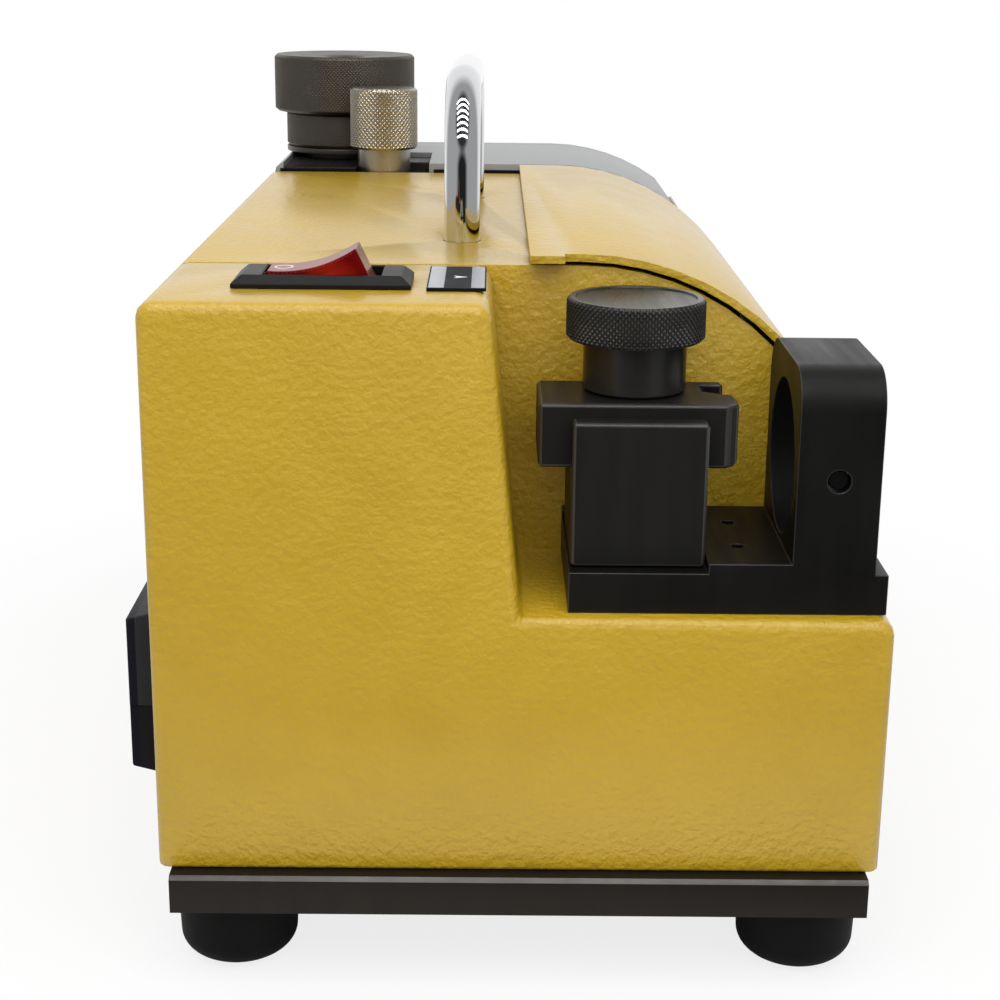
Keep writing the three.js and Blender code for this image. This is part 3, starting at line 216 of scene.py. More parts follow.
def yellow_paint():
    t = Tree("yellow_paint")
    peel, fine = t.noise(480, 2, 0.5), t.noise(1500, 3)
    broad, blotch = t.noise(16, 3), t.noise(75, 2)
    tone = t.ramp(broad, (0.3, (0.500, 0.315, 0.011)), (0.7, (0.545, 0.346, 0.014)))
    tone = t.mix(t.ramp(blotch, (0.35, 0.0), (0.75, 0.3)), tone, (0.60, 0.39, 0.02))
    height = t.math("ADD", peel, t.math("MULTIPLY", fine, 0.2))
    t.set(base_color=tone, roughness=t.ramp(blotch, (0.3, 0.34), (0.7, 0.42)), coat_weight=0.6,
          coat_roughness=0.22, normal=t.bump(height, 0.9, 0.00075))
    return t.material


def blackened(name, colour, rough, metallic=0.5, specular=0.25):
    """Dark oxidised or painted metal with faint machining lines and a little wear on the edges."""
    t = Tree(name)
    cloud, lines = t.noise(45, 5), t.noise(260, 3, 0.5, stretch=(1, 0.08, 0.08))
    tone = t.ramp(cloud, (0.3, scaled(colour, 0.8)), (0.7, scaled(colour, 1.4)))
    tone = t.mix(t.edges(0.52, 0.62), tone, scaled(colour, 2.6))
    t.set(base_color=tone, metallic=metallic, specular_ior_level=specular,
          roughness=t.ramp(lines, (0.3, rough - 0.06), (0.7, rough + 0.08)),
          normal=t.bump(lines, 0.08, 0.0001))
    return t.material


def bare_metal(name, colour, rough, scale=120, stretch=(1, 1, 0.1), relief=0.05):
    t = Tree(name)
    lines = t.noise(scale, 4, 0.55, stretch=stretch)
    cloud = t.noise(35, 4)
    tone = t.ramp(cloud, (0.3, scaled(colour, 0.9)), (0.7, colour))
    t.set(base_color=tone, metallic=1.0,
          roughness=t.ramp(lines, (0.3, max(rough - 0.04, 0.02)), (0.7, rough + 0.04)),
          normal=t.bump(lines, relief, 0.0001))
    return t.material


def cast_metal(name, colour):
    t = Tree(name)
    grain, broad = t.noise(520, 6, 0.65), t.noise(30, 4)
    tone = t.ramp(broad, (0.3, scaled(colour, 0.88)), (0.7, colour))
    t.set(base_color=tone, metallic=0.65, roughness=t.ramp(broad, (0.3, 0.42), (0.7, 0.52)),
          normal=t.bump(grain, 0.2, 0.0003))
    return t.material


def moulded(name, colour, rough, grain=900, relief=0.08, specular=0.5):
    t = Tree(name)
    fine, broad = t.noise(grain, 4), t.noise(40, 3)
    tone = t.ramp(broad, (0.3, scaled(colour, 0.85)), (0.7, scaled(colour, 1.15)))
    t.set(base_color=tone, specular_ior_level=specular,
          roughness=t.ramp(broad, (0.3, rough - 0.05), (0.7, rough + 0.05)),
          normal=t.bump(fine, relief, 0.0002))
    return t.material


def red_lens():
    """Clear red moulding with a painted glow spot on its front face, frosted on top with a painted pale sheen
    there and at its raised end.
    """
    t = Tree("red_lens")
    rocker = Span("switch_rocker")
    # Painted glow: bright red close to a point on the front face, fading to deep red further away
    glow = t.distance(at(rocker.cx + 2, rocker.y0, rocker.z1 - 9.5))
    tone = t.ramp(glow, (0.0015, (0.80, 0.045, 0.010)), (0.0045, (0.17, 0.002, 0.001)),
                  (0.009, (0.12, 0.0015, 0.001)))
    speck = t.noise(900, 3)
    # Painted pale sheen on faces that look up, which are also made rougher as frosting
    frost_and_sheen = t.math("MULTIPLY", t.ramp(t.facing(2), (0.72, 0.0), (0.95, 0.8)),
                   t.ramp(speck, (0.3, 0.8), (0.7, 1.0)))
    # Painted pale sheen on faces toward the raised end
    end = t.math("MULTIPLY", t.ramp(t.facing(0), (0.6, 0.0), (0.9, 0.35)),
                 t.ramp(speck, (0.3, 0.8), (0.7, 1.0)))
    tone = t.mix(t.math("MAXIMUM", frost_and_sheen, end), tone, (0.40, 0.22, 0.21))
    t.set(base_color=tone, specular_ior_level=0.3, roughness=t.ramp(frost_and_sheen, (0.0, 0.15), (0.7, 0.4)),
          normal=t.bump(speck, 0.05, 0.0002))
    return t.material


# The inlet's step lies this far above its fuse drawer
INLET_STEP = 2.5


def inlet_plastic():
    """Grained black plastic with a painted bluish sheen on its outer rim and painted shade on its lower part
    below the step.
    """
    inlet, drawer = Span("power_inlet"), Span("fuse_drawer")
    t = Tree("inlet_plastic")
    step = at(0, 0, drawer.z1 + INLET_STEP).z
    rim = at(inlet.x0 + 2.2, 0, 0).x
    grain = t.noise(1300, 3)
    # Painted shade: the plastic below the step is darker
    low = t.math("LESS_THAN", t.position(2), step)
    tone = t.mix(low, (0.022, 0.022, 0.025), (0.0065, 0.0062, 0.0068))
    # Painted bluish sheen along the outer rim
    tone = t.mix(t.math("LESS_THAN", t.position(0), rim), tone, (0.0035, 0.0035, 0.0095))
    t.set(base_color=tone, specular_ior_level=0.25, roughness=t.ramp(grain, (0.3, 0.42), (0.7, 0.55)),
          normal=t.bump(grain, 0.3, 0.0002))
    return t.material


def abrasive():
    t = Tree("abrasive")
    grit = t.cells(1400)
    tone = t.ramp(grit, (0.1, (0.20, 0.17, 0.12)), (0.6, (0.07, 0.06, 0.045)))
    t.set(base_color=tone, roughness=0.85, normal=t.bump(grit, 0.9, 0.0006))
    return t.material


MATERIALS = {
    "yellow_paint": yellow_paint(),
    "gunmetal": blackened("gunmetal", (0.0115, 0.0098, 0.0082), 0.45, 0.5),
    "black_oxide": blackened("black_oxide", (0.0088, 0.0084, 0.0080), 0.45, 0.5),
    "knurled_grey": blackened("knurled_grey", (0.034, 0.033, 0.031), 0.3, 0.6),
    "chrome": bare_metal("chrome", (0.74, 0.75, 0.77), 0.05, 60, (1, 1, 1), 0.004),
    "steel": bare_metal("steel", (0.52, 0.52, 0.53), 0.28),
    "nickel": bare_metal("nickel", (0.56, 0.51, 0.42), 0.31, 160, (1, 1, 1), 0.02),
    "cast_aluminium": cast_metal("cast_aluminium", (0.455, 0.46, 0.465)),
    "rubber": moulded("rubber", (0.0022, 0.0022, 0.0022), 0.65, 700, 0.2, 0.15),
    "black_plastic": moulded("black_plastic", (0.0048, 0.0046, 0.0048), 0.42, 1500, 0.15, 0.25),
    "red_lens": red_lens(),
    "arrow_print": moulded("arrow_print", (0.004, 0.0045, 0.008), 0.5, 900, 0.02, 0.12),
    "copper": bare_metal("copper", (0.60, 0.28, 0.12), 0.3),
    "abrasive": abrasive(),
}
CHUCK_GREY = bare_metal("chuck_grey", (0.135, 0.122, 0.104), 0.42, 220, (1, 1, 1), 0.03)
# Painted highlight: a lighter copy of the black metal for the base plate's sloping chamfer
PAINTED_HIGHLIGHT_EDGE = blackened("bright_edge", (0.07, 0.067, 0.063), 0.38, 0.7)
# Lighter grey for the rounded edges of the gauge's bracket, post and slide block
LIGHT_GREY_EDGE = blackened("worn_edge", (0.034, 0.032, 0.030), 0.38, 0.6)
SILVER_PRINT = bare_metal("silver_print", (0.62, 0.63, 0.66), 0.35, 400, (1, 0.05, 1), 0.02)
WHITE_PRINT = moulded("white_print", (0.78, 0.77, 0.76), 0.4, 900, 0.02)

SLOTS = {entry["node"]: entry["material_slot"] for entry in frame["record"]["subparts"]}
BODIES = {node: body for body, names in frame["record"]["behaviour"]["bodies"].items() for node in names}


# Meshes
def piece(name, mesh_or_bm, body, material, replaces=()):
    if isinstance(mesh_or_bm, bmesh.types.BMesh):
        mesh = bpy.data.meshes.new(name)
        mesh_or_bm.to_mesh(mesh)
        mesh_or_bm.free()
    else:
        mesh = mesh_or_bm
    obj = bpy.data.objects.new(name, mesh)
    scene.collection.objects.link(obj)
    obj.data.materials.clear()
    obj.data.materials.append(material)
    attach(obj, body)
    if replaces:
        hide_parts(*replaces)
    return obj


def apply_modifiers(obj):
    """Turns the object's modifiers into mesh."""
    graph = bpy.context.evaluated_depsgraph_get()
    graph.update()
    mesh = bpy.data.meshes.new_from_object(obj.evaluated_get(graph))
    obj.modifiers.clear()
    old = obj.data
    obj.data = mesh
    bpy.data.meshes.remove(old)


def smooth(obj, angle=CRISP):
    for polygon in obj.data.polygons:
        polygon.use_smooth = True
    obj.data.set_sharp_from_angle(angle=math.radians(angle))


def soften(obj, width, segments=3, angle=32, edge=None):
    """Rounds the sharp edges, with the flats kept flat in shading."""
    bm = bmesh.new()
    bm.from_mesh(obj.data)
    bmesh.ops.remove_doubles(bm, verts=bm.verts, dist=0.00001)
    bmesh.ops.dissolve_limit(bm, angle_limit=math.radians(1), verts=bm.verts, edges=bm.edges)
    bm.to_mesh(obj.data)
    bm.free()
    bevel = obj.modifiers.new("bevel", "BEVEL")
    bevel.width = width * MM
    bevel.segments = segments
    bevel.limit_method = "ANGLE"
    bevel.angle_limit = math.radians(angle)
    bevel.harden_normals = True
    bevel.use_clamp_overlap = True
    if edge is not None:
        obj.data.materials.append(edge)
        bevel.material = 1
    for polygon in obj.data.polygons:
        polygon.use_smooth = True
    apply_modifiers(obj)


def bridge(bm, rings):
    """Faces between rings of points, where a ring of one point is a tip."""
    count = max(map(len, rings))
    for low, high in zip(rings, rings[1:]):
        for i in range(count):
            k = (i + 1) % count
            corners = [low[i % len(low)], low[k % len(low)], high[k % len(high)], high[i % len(high)]]
            corners = list(dict.fromkeys(corners))
            if len(corners) > 2:
                bm.faces.new(corners)


def lathe(profile, centre, axis="z", segments=128):
    """A ring mesh from (radius, height) pairs in mm, closed where the profile meets the axis."""
    bm = bmesh.new()
    rings = []
    for radius, height in profile:
        if radius == 0:
            rings.append([bm.verts.new((0, 0, height * MM))])
            continue
        rings.append([
            bm.verts.new((radius * MM * math.cos(2 * math.pi * i / segments),
                          radius * MM * math.sin(2 * math.pi * i / segments), height * MM))
            for i in range(segments)])
    bridge(bm, rings)
    turn = {"z": Matrix(),
            "y": Matrix.Rotation(-math.pi / 2, 4, "X"),
            "x": Matrix.Rotation(math.pi / 2, 4, "Y")}[axis]
    bm.transform(Matrix.Translation(centre) @ turn)
    bmesh.ops.recalc_face_normals(bm, faces=bm.faces)
    return bm


def rounded_profile(corners):
    """Corners (radius, height, rounding) with each rounding turned into a short arc."""
    result = []
    count = len(corners)
    for i, (x, y, r) in enumerate(corners):
        if r == 0 or i in (0, count - 1):
            result.append((x, y))
            continue
        here = Vector((x, y))
        back = (Vector(corners[i - 1][:2]) - here).normalized()
        ahead = (Vector(corners[i + 1][:2]) - here).normalized()
        half = back.angle(ahead) / 2
        reach = r / math.tan(half)
        start, end = here + back * reach, here + ahead * reach
        centre = here + (back + ahead).normalized() * (r / math.sin(half))
        for k in range(5):
            point = start.lerp(end, k / 4) - centre
            result.append(tuple(centre + point.normalized() * r))
    return result


def knurled(radius, low, high, depth, pitch, centre, below, above, chamfer=0.8):
    """A turned form with a diamond knurl between two heights; the rest is (radius, height) pairs."""
    steps = 6
    around = round(2 * math.pi * radius / pitch)
    segments = around * steps
    rows = max(int((high - low) / pitch * steps), steps)

    def groove(i, height):
        turn, climb = i / steps, (height - low) / pitch
        first, second = (abs((turn + way * climb) % 1 * 2 - 1) for way in (1, -1))
        return 1 - min(min(first, second) * 1.6, 1)

    profile = [[r] * segments + [height] for r, height in below]
    for row in range(rows + 1):
        height = low + (high - low) * row / rows
        fade = min(min(height - low, high - height) / chamfer, 1)
        base = radius - chamfer * (1 - fade)
        profile.append([base - depth * fade * groove(i, height) for i in range(segments)] + [height])
    profile += [[r] * segments + [height] for r, height in above]

    bm = bmesh.new()
    rings = []
    for *radii, height in profile:
        if radii[0] == 0:
            rings.append([bm.verts.new((0, 0, height * MM))])
            continue
        rings.append([bm.verts.new((r * math.cos(2 * math.pi * i / segments) * MM,
                                    r * math.sin(2 * math.pi * i / segments) * MM, height * MM))
                      for i, r in enumerate(radii)])
    bridge(bm, rings)
    bm.transform(Matrix.Translation(centre))
    bmesh.ops.recalc_face_normals(bm, faces=bm.faces)
    return bm


def prism(outline, axis, low, high):
    """Outline pairs are (y, z) for x, (x, z) for y and (x, y) for z, in mm."""
    bm = bmesh.new()

    def point(a, b, c):
        return at(*{"x": (c, a, b), "y": (a, c, b), "z": (a, b, c)}[axis])

    rings = [[bm.verts.new(point(a, b, c)) for a, b in outline] for c in (low, high)]
    bm.faces.new(rings[0])
    bm.faces.new(rings[1])
    count = len(outline)
    for i in range(count):
        k = (i + 1) % count
        bm.faces.new((rings[0][i], rings[0][k], rings[1][k], rings[1][i]))
    bmesh.ops.recalc_face_normals(bm, faces=bm.faces)
    return bm


def arc(centre, radius, start, end, steps):
    turns = [math.radians(start + (end - start) * i / steps) for i in range(steps + 1)]
    return [(centre[0] + radius * math.cos(turn), centre[1] + radius * math.sin(turn)) for turn in turns]


def rod(radius, low, high, centre, axis, segments):
    return lathe([(0, low), (radius, low), (radius, high), (0, high)], centre, axis, segments)


def combine(obj, operation, *tools):
    """Joins other meshes to an object, or takes them away from it; the tools aren't kept."""
    for bm in tools:
        mesh = bpy.data.meshes.new("tool")
        bm.to_mesh(mesh)
        bm.free()
        tool = bpy.data.objects.new("tool", mesh)
        scene.collection.objects.link(tool)
        boolean = obj.modifiers.new("combine", "BOOLEAN")
        boolean.operation = operation
        boolean.solver = "EXACT"
        boolean.object = tool
        apply_modifiers(obj)
        bpy.data.objects.remove(tool)


# Dressing the CAD nodes
def dress_nodes():
    for name, obj in nodes.items():
        obj.data.materials.clear()
        obj.data.materials.append(MATERIALS[SLOTS[name]])


def rounded_node(node, width, segments=3, angle=32, material=None, slopes=None):
    """The CAD node's own shape with rounded edges; its sloping faces may get a material of their own, such as
    a painted highlight.
    """
    obj = stand_in(node, nodes[node].data.copy(), material)
    if slopes is not None:
        obj.data.materials.append(slopes)
        for polygon in obj.data.polygons:
            if 0.3 < abs(polygon.normal.z) < 0.95:
                polygon.material_index = 1
    soften(obj, width, segments, angle)
    return obj


def stand_in(node, mesh_or_bm, material=None):
    """A finer mesh in a CAD node's place."""
    slot = SLOTS[node]
    return piece(node + "_dressed", mesh_or_bm, BODIES[node], material or MATERIALS[slot], (node,))


def added(name, like, bm, material):
    """A detail that the solids leave out, moving with a CAD node."""
    return piece(name, bm, BODIES[like], material)


# Setting gauge
def make_gauge():
    bracket, post, block, knob, pin = map(
        Span, ("gauge_bracket", "gauge_post", "slide_block", "gauge_knob", "gauge_key_pin"))
    corner, plate_width, lip, ring_radius = 10, 20.3, 3.2, 19.5
    ring_y, ring_z = bracket.cy, pin.cz
    plate_end = bracket.x1 - lip
    sill, shelf = bracket.z0 + 10.3, bracket.z0 + 12.8
    seat_x, seat_y = post.x1 + 0.5, post.y1 + GAP
    crown = bracket.z1 - corner

    side = (arc((bracket.y1 - corner, crown), corner, 0, 90, 14)
            + arc((bracket.y0 + corner, crown), corner, 90, 180, 14)
            + [(bracket.y0, bracket.z0), (bracket.y1, bracket.z0)])
    foot = [(bracket.x0, bracket.z0), (bracket.x1, bracket.z0), (bracket.x1, sill), (plate_end, sill),
            (plate_end, shelf)]
    upright = stand_in("gauge_bracket", prism(side, "x", plate_end - plate_width, plate_end))
    combine(upright, "UNION",
            prism(foot + [(seat_x, shelf), (seat_x, sill), (bracket.x0, sill)], "y", bracket.y0, seat_y),
            prism(foot + [(bracket.x0, shelf)], "y", seat_y, bracket.y1))
    hole_x, hole_radius, hole_depth, hole_spread = seat_x + 8.7, 1.6, 10, 10
    combine(upright, "DIFFERENCE",
            rod(ring_radius, plate_end - plate_width - OVER, plate_end + OVER,
                at(0, ring_y, ring_z), "x", 128),
            rod(pin.radius + GAP, bracket.y0 - OVER, pin.y1 - OVER, at(pin.cx, 0, ring_z), "y", 48),
            *(rod(hole_radius, shelf - hole_depth, shelf + OVER,
                  at(hole_x, ring_y + way * hole_spread, 0), "z", 32) for way in (-1, 1)))
    soften(upright, 0.7, 2, 40, LIGHT_GREY_EDGE)
    stand_in("gauge_key_pin", lathe(rounded_profile(
        [(0, pin.y0, 0), (pin.radius, pin.y0, 0.4), (pin.radius, pin.y1, 0.3), (0, pin.y1, 0)]),
        at(pin.cx, 0, pin.cz), "y", 48))

    channel = (block.y0 - GAP, block.y1 + GAP)
    floor = block.z0 - GAP
    carrier = stand_in("gauge_post", prism(
        [(post.y0, post.z0), (post.y1, post.z0), (post.y1, post.z1), (channel[1], post.z1),
         (channel[1], floor), (channel[0], floor), (channel[0], post.z1), (post.y0, post.z1)],
        "x", post.x0, post.x1))
    screw_radius = 4
    bore = screw_radius + GAP
    combine(carrier, "DIFFERENCE", rod(bore, knob.z0 - GAP, post.z1 + OVER, at(knob.cx, knob.cy, 0), "z", 48))
    soften(carrier, 0.9, 1, 40, LIGHT_GREY_EDGE)

    chamfer, travel = 2.6, 6
    slot_end, slot_front, slot_rear = block.x1 - 7.4, (block.y0 + 10.6, block.y0 + 15), block.y1 - 2.8
    tongue = block.x1 - 1.6
    slider = stand_in("slide_block", prism(
        [(block.x0, block.y0), (block.x1 - chamfer, block.y0), (block.x1, block.y0 + chamfer),
         (block.x1, slot_front[0]), (slot_end, slot_front[1]), (slot_end, slot_rear), (tongue, slot_rear),
         (tongue, block.y1), (block.x0, block.y1)], "z", block.z0, block.z1))
    combine(slider, "DIFFERENCE", prism(
        arc((knob.cx + travel, knob.cy), bore, -90, 90, 12)
        + arc((knob.cx - travel, knob.cy), bore, 90, 270, 12),
        "z", block.z0 - OVER, block.z1 + OVER))
    soften(slider, 0.9, 1, 40, LIGHT_GREY_EDGE)

    head, neck, collar = knob.z1 - 10.2, block.z1 + GAP, 12.8
    smooth(stand_in("gauge_knob", knurled(
        knob.radius, head, knob.z1, depth=0.5, pitch=1.5, centre=at(knob.cx, knob.cy, 0),
        below=[(0, knob.z0), (3.4, knob.z0), (screw_radius, knob.z0 + 0.6), (screw_radius, neck),
               (12.3, neck), (collar, neck + 0.5), (collar, head - 0.5), (13.3, head)],
        above=[(15, knob.z1), (14.7, knob.z1 - 0.4), (0, knob.z1 - 0.5)])))


# Chuck in its port, with the thumb screw
def make_chuck():
    cap, sleeve, body, thumb = map(Span, ("chuck_cap", "chuck_sleeve", "chuck_body", "thumb_screw"))
    centre = at(cap.cx, cap.cy, 0)
    bore, collet_seat, collet_bore, stem, sleeve_bore, sleeve_tube = 7, 158.4, 10.8, 14.5, 14.8, 16.8
    smooth(stand_in("chuck_cap", knurled(
        cap.radius, cap.z0, cap.z1, depth=0.22, pitch=1.35, centre=centre, chamfer=1.0,
        below=[(bore, cap.z0), (25.4, cap.z0)],
        above=[(25.3, cap.z1), (23.8, cap.z1 - 0.1), (16, cap.z1 - 0.7), (8, cap.z1 - 1),
               (bore, cap.z1 - 1.6), (bore, cap.z0)]), CHUCK_GREY))
    flange = sleeve.z1 - 2
    smooth(stand_in("chuck_sleeve", lathe(rounded_profile(
        [(sleeve_bore, sleeve.z0, 0), (sleeve_tube, sleeve.z0, 0.3), (sleeve_tube, flange, 0.1),
         (sleeve.radius, flange, 0.3), (sleeve.radius, sleeve.z1, 0.3), (sleeve_bore, sleeve.z1, 0.2),
         (sleeve_bore, sleeve.z0, 0)]), centre), CHUCK_GREY))
    shoulder, lead, rim = sleeve.z1 + GAP, 0.4, body.radius - 0.6
    smooth(stand_in("chuck_body", knurled(
        body.radius, shoulder + lead, body.z1 - lead, depth=0.18, pitch=1.1, centre=centre, chamfer=lead,
        below=[(bore, body.z0), (stem - 0.5, body.z0), (stem, body.z0 + 0.5), (stem, shoulder),
               (rim, shoulder)],
        above=[(rim, body.z1), (collet_bore, body.z1), (collet_bore, collet_seat), (bore, collet_seat),
               (bore, body.z0)]), CHUCK_GREY))
    stud, neck, seat, head = 4, 9.6, thumb.z0 + 13.3, thumb.z1 - 21.6
    smooth(stand_in("thumb_screw", knurled(
        thumb.radius, head, thumb.z1, depth=0.42, pitch=1.75, centre=at(thumb.cx, thumb.cy, 0),
        below=[(0, thumb.z0), (stud - 0.5, thumb.z0), (stud, thumb.z0 + 0.5), (stud, seat),
               (neck - 0.4, seat), (neck, seat + 0.4), (neck, head - 0.3), (neck + 0.5, head)],
        above=[(11, thumb.z1), (10.4, thumb.z1 - 0.2), (0, thumb.z1 - 0.4)])))
    rounded_node("port_block", 0.8, segments=2, angle=40)


def make_collets():
    """Spring collets, slit from their open end."""
    slit, unslit_foot = 0.8, 10
    for node in ["chuck_collet"] + [f"collet_{i}" for i in range(1, 7)]:
        collet = Span(node)
        obj = rounded_node(node, 0.4, segments=2, angle=40)
        for low, high in (((-collet.radius - OVER, -slit / 2), (collet.radius + OVER, slit / 2)),
                          ((-slit / 2, -collet.radius - OVER), (slit / 2, collet.radius + OVER))):
            combine(obj, "DIFFERENCE", prism(
                [(collet.cx + x, collet.cy + y) for x, y in
                 ((low[0], low[1]), (high[0], low[1]), (high[0], high[1]), (low[0], high[1]))],
                "z", collet.z0 + unslit_foot, collet.z1 + OVER))


def make_handle():
    span = Span("carrying_handle")
    rod_radius, bend, straight, shrink = 5, 21, 20, 0.02
    top, front, rear = span.z1 - rod_radius, span.y0 + rod_radius, span.y1 - rod_radius
    left, right = span.x0 + rod_radius, span.x1 - rod_radius
    curve = bpy.data.curves.new("handle_path", "CURVE")
    curve.dimensions = "3D"
    curve.bevel_depth = (rod_radius - shrink) * MM
    curve.bevel_resolution = 24
    curve.use_fill_caps = True
    path = ([(front, span.z0), (front, span.z0 + straight)]
            + arc((front + bend, top - bend), bend, 180, 90, 48)
            + arc((rear - bend, top - bend), bend, 90, 0, 48)
            + [(rear, span.z0 + straight), (rear, span.z0)])
    spline = curve.splines.new("POLY")
    spline.points.add(len(path) - 1)
    for point, (y, z) in zip(spline.points, path):
        point.co = (*at(left + (right - left) * (y - front) / (rear - front), y, z), 1)
    holder = bpy.data.objects.new("handle_path", curve)
    scene.collection.objects.link(holder)
    graph = bpy.context.evaluated_depsgraph_get()
    mesh = bpy.data.meshes.new_from_object(holder.evaluated_get(graph))
    bpy.data.objects.remove(holder)
    smooth(stand_in("carrying_handle", mesh), 40)


def make_feet():
    """Rubber bowls on a small flat pad, each with its stud in the base plate."""
    pad, bowl_height, skirt, stud, stud_length = 6.5, 6.5, 15, 4, 6
    for i in range(1, 5):
        foot = Span(f"foot_{i}")
        rubber_top = foot.z1 - stud_length
        turns = [math.radians(k * 7.5) for k in range(13)]
        bowl = [(pad + (skirt - pad) * math.sin(turn), foot.z0 + bowl_height * (1 - math.cos(turn)))
                for turn in turns]
        top = [(foot.radius, rubber_top - 0.4), (foot.radius - 0.4, rubber_top), (stud, rubber_top),
               (stud, foot.z1), (0, foot.z1)]
        smooth(stand_in(f"foot_{i}", lathe([(0, foot.z0)] + bowl + top, at(foot.cx, foot.cy, 0), "z", 96)))


# Rocker switch
def make_switch():
    body = Span("switch_body")
    seat = TOP + 0.15
    rim = seat + (body.z1 - TOP - 0.15)
    hole, cavity = (7.2, 2.4), (16.4, 6.8)
    floor = TOP - 18

    def ring(inset_x, inset_y, z):
        x0, x1, y0, y1 = body.x0 + inset_x, body.x1 - inset_x, body.y0 + inset_y, body.y1 - inset_y
        return [at(x0, y0, z), at(x1, y0, z), at(x1, y1, z), at(x0, y1, z)]

    rings = [ring(*hole, floor), ring(*hole, rim - 0.3), ring(6.9, 2.1, rim), ring(2.8, 1.9, rim),
             ring(2.2, 1.6, rim - 0.15), ring(0.1, 0.1, seat + 1.1), ring(0, 0, seat + 0.9), ring(0, 0, seat),
             ring(6.4, 1.6, seat), ring(6.4, 1.6, body.z0), ring(*cavity, body.z0), ring(*cavity, floor),
             ring(*hole, floor)]
    bm = bmesh.new()
    loops = [[bm.verts.new(corner) for corner in corners] for corners in rings]
    for low, high in zip(loops, loops[1:]):
        for i in range(4):
            k = (i + 1) % 4
            bm.faces.new((low[i], low[k], high[k], high[i]))
    bmesh.ops.recalc_face_normals(bm, faces=bm.faces)
    smooth(stand_in("switch_body", bm), 8)

    tilt, half, drum, width = math.radians(14.5), 13.3, 8.5, 6.1
    pivot_x, pivot_z = body.cx, TOP - 3

    def crown(x):
        return 8 + 1.9 * (x / 11) ** 2

    def turned(x, z):
        return (pivot_x + x * math.cos(tilt) - z * math.sin(tilt),
                pivot_z + x * math.sin(tilt) + z * math.cos(tilt))

    saddle = [(x, crown(x)) for x in (11 * s / 16 for s in range(16, -17, -1))]
    outline = [turned(x, z) for x, z in
               arc((0, 0), drum, 200, 340, 12) + [(half, -1.4)] + saddle + [(-half, -1.4)]]
    soften(stand_in("switch_rocker", prism(outline, "y", body.cy - width, body.cy + width)), 0.35, 3, 30)

    # Fine ribs along the rocker's long edges
    ribs = bmesh.new()
    rib_count, rib_size = 22, tuple(length * MM for length in (0.55, 0.3, 1.3))
    for side in (-1, 1):
        for i in range(rib_count):
            x = -11.5 + i
            centre_x, centre_z = turned(x, crown(x) - 1.2)
            made = bmesh.ops.create_cube(ribs, size=1)["verts"]
            bmesh.ops.scale(ribs, vec=rib_size, verts=made)
            bmesh.ops.rotate(ribs, cent=(0, 0, 0), matrix=Matrix.Rotation(-tilt, 3, "Y"), verts=made)
            bmesh.ops.translate(ribs, vec=at(centre_x, body.cy + side * (width + 0.02), centre_z), verts=made)
    added("rocker_ribs", "switch_rocker", ribs, MATERIALS["red_lens"])

    # Ring mark on the rocker's lowered end
    mark = bmesh.new()
    sides, middle, stretch = 40, -7.6, 1.15
    loops = []
    for radius in (2.3, 1.75):
        loop = []
        for cx, cy in arc((0, 0), 1, 0, 360, sides)[:-1]:
            x = middle + cx * radius
            px, pz = turned(x, crown(x) + 0.04)
            loop.append(mark.verts.new(at(px, body.cy + cy * radius * stretch, pz)))
        loops.append(loop)
    for i in range(sides):
        k = (i + 1) % sides
        mark.faces.new((loops[0][i], loops[0][k], loops[1][k], loops[1][i]))
    ring_mark = added("rocker_mark", "switch_rocker", mark, WHITE_PRINT)
    solid = ring_mark.modifiers.new("thickness", "SOLIDIFY")
    solid.thickness = 0.06 * MM
    solid.offset = 0
    apply_modifiers(ring_mark)


def make_arrow_plate():
    plate = Span("arrow_plate")
    soften(stand_in("arrow_plate", prism(
        [(plate.x0, plate.y0), (plate.x1, plate.y0), (plate.x1, plate.y1), (plate.x0, plate.y1)],
        "z", plate.z0, plate.z1 - 0.07)), 0.15, 2, 30)
    low, high = plate.z1 - 0.1, plate.z1 - 0.04
    front, rear = plate.y0 + 0.6, plate.y1 - 0.6
    for name, start, end in (("left", 0.4, 4.1), ("right", 10.6, 13.8)):
        left, right = plate.x0 + start, plate.x0 + end
        added(f"arrow_plate_{name}_band", "arrow_plate", prism(
            [(left, front), (right, front), (right, rear), (left, rear)], "z", low, high), SILVER_PRINT)
    tail, tip, half = plate.x0 + 6.2, plate.x0 + 9.6, 1.7
    added("arrow_plate_arrow", "arrow_plate", prism(
        [(tail, plate.cy - half), (tip, plate.cy), (tail, plate.cy + half), (tail + 0.8, plate.cy)],
        "z", low, high), WHITE_PRINT)


def make_lid_seal():
    """A thin rubber strip inside the lid's rear end, over the edge of the housing's end wall."""
    lid = Span("lid")
    roll_radius, wall, thickness = 74, 2.2, 1
    roll = (lid.x1 - 74.6, lid.z1 - roll_radius)
    outer, low, high = roll_radius - wall, 2, 62
    strip = prism(arc(roll, outer, low, high, 40) + arc(roll, outer - thickness, high, low, 40),
                  "y", lid.y1 - 2.6, lid.y1 - 0.4)
    piece("lid_seal", strip, BODIES["lid"], MATERIALS["rubber"])


def make_inlet():
    """The inlet's front edge has a shallow step where the fuse drawer's housing begins."""
    inlet, drawer = Span("power_inlet"), Span("fuse_drawer")
    obj = rounded_node("power_inlet", 0.5, material=inlet_plastic())
    step, step_depth = drawer.z1 + INLET_STEP, 0.7
    combine(obj, "DIFFERENCE", prism(
        [(inlet.x0 - OVER, inlet.z0 - OVER), (0, inlet.z0 - OVER), (0, step), (inlet.x0 - OVER, step)],
        "y", inlet.y0 - OVER, inlet.y0 + step_depth))
    rounded_node("fuse_drawer", 0.4, segments=2)


# Studio
FLOOR_SIZE = 6
FLOOR_FADE = (0.19, 0.31)
FLOOR_PALENESS = 0.8
ROOM_LIGHT = 0.55
ROOM_SIDES = 0.42


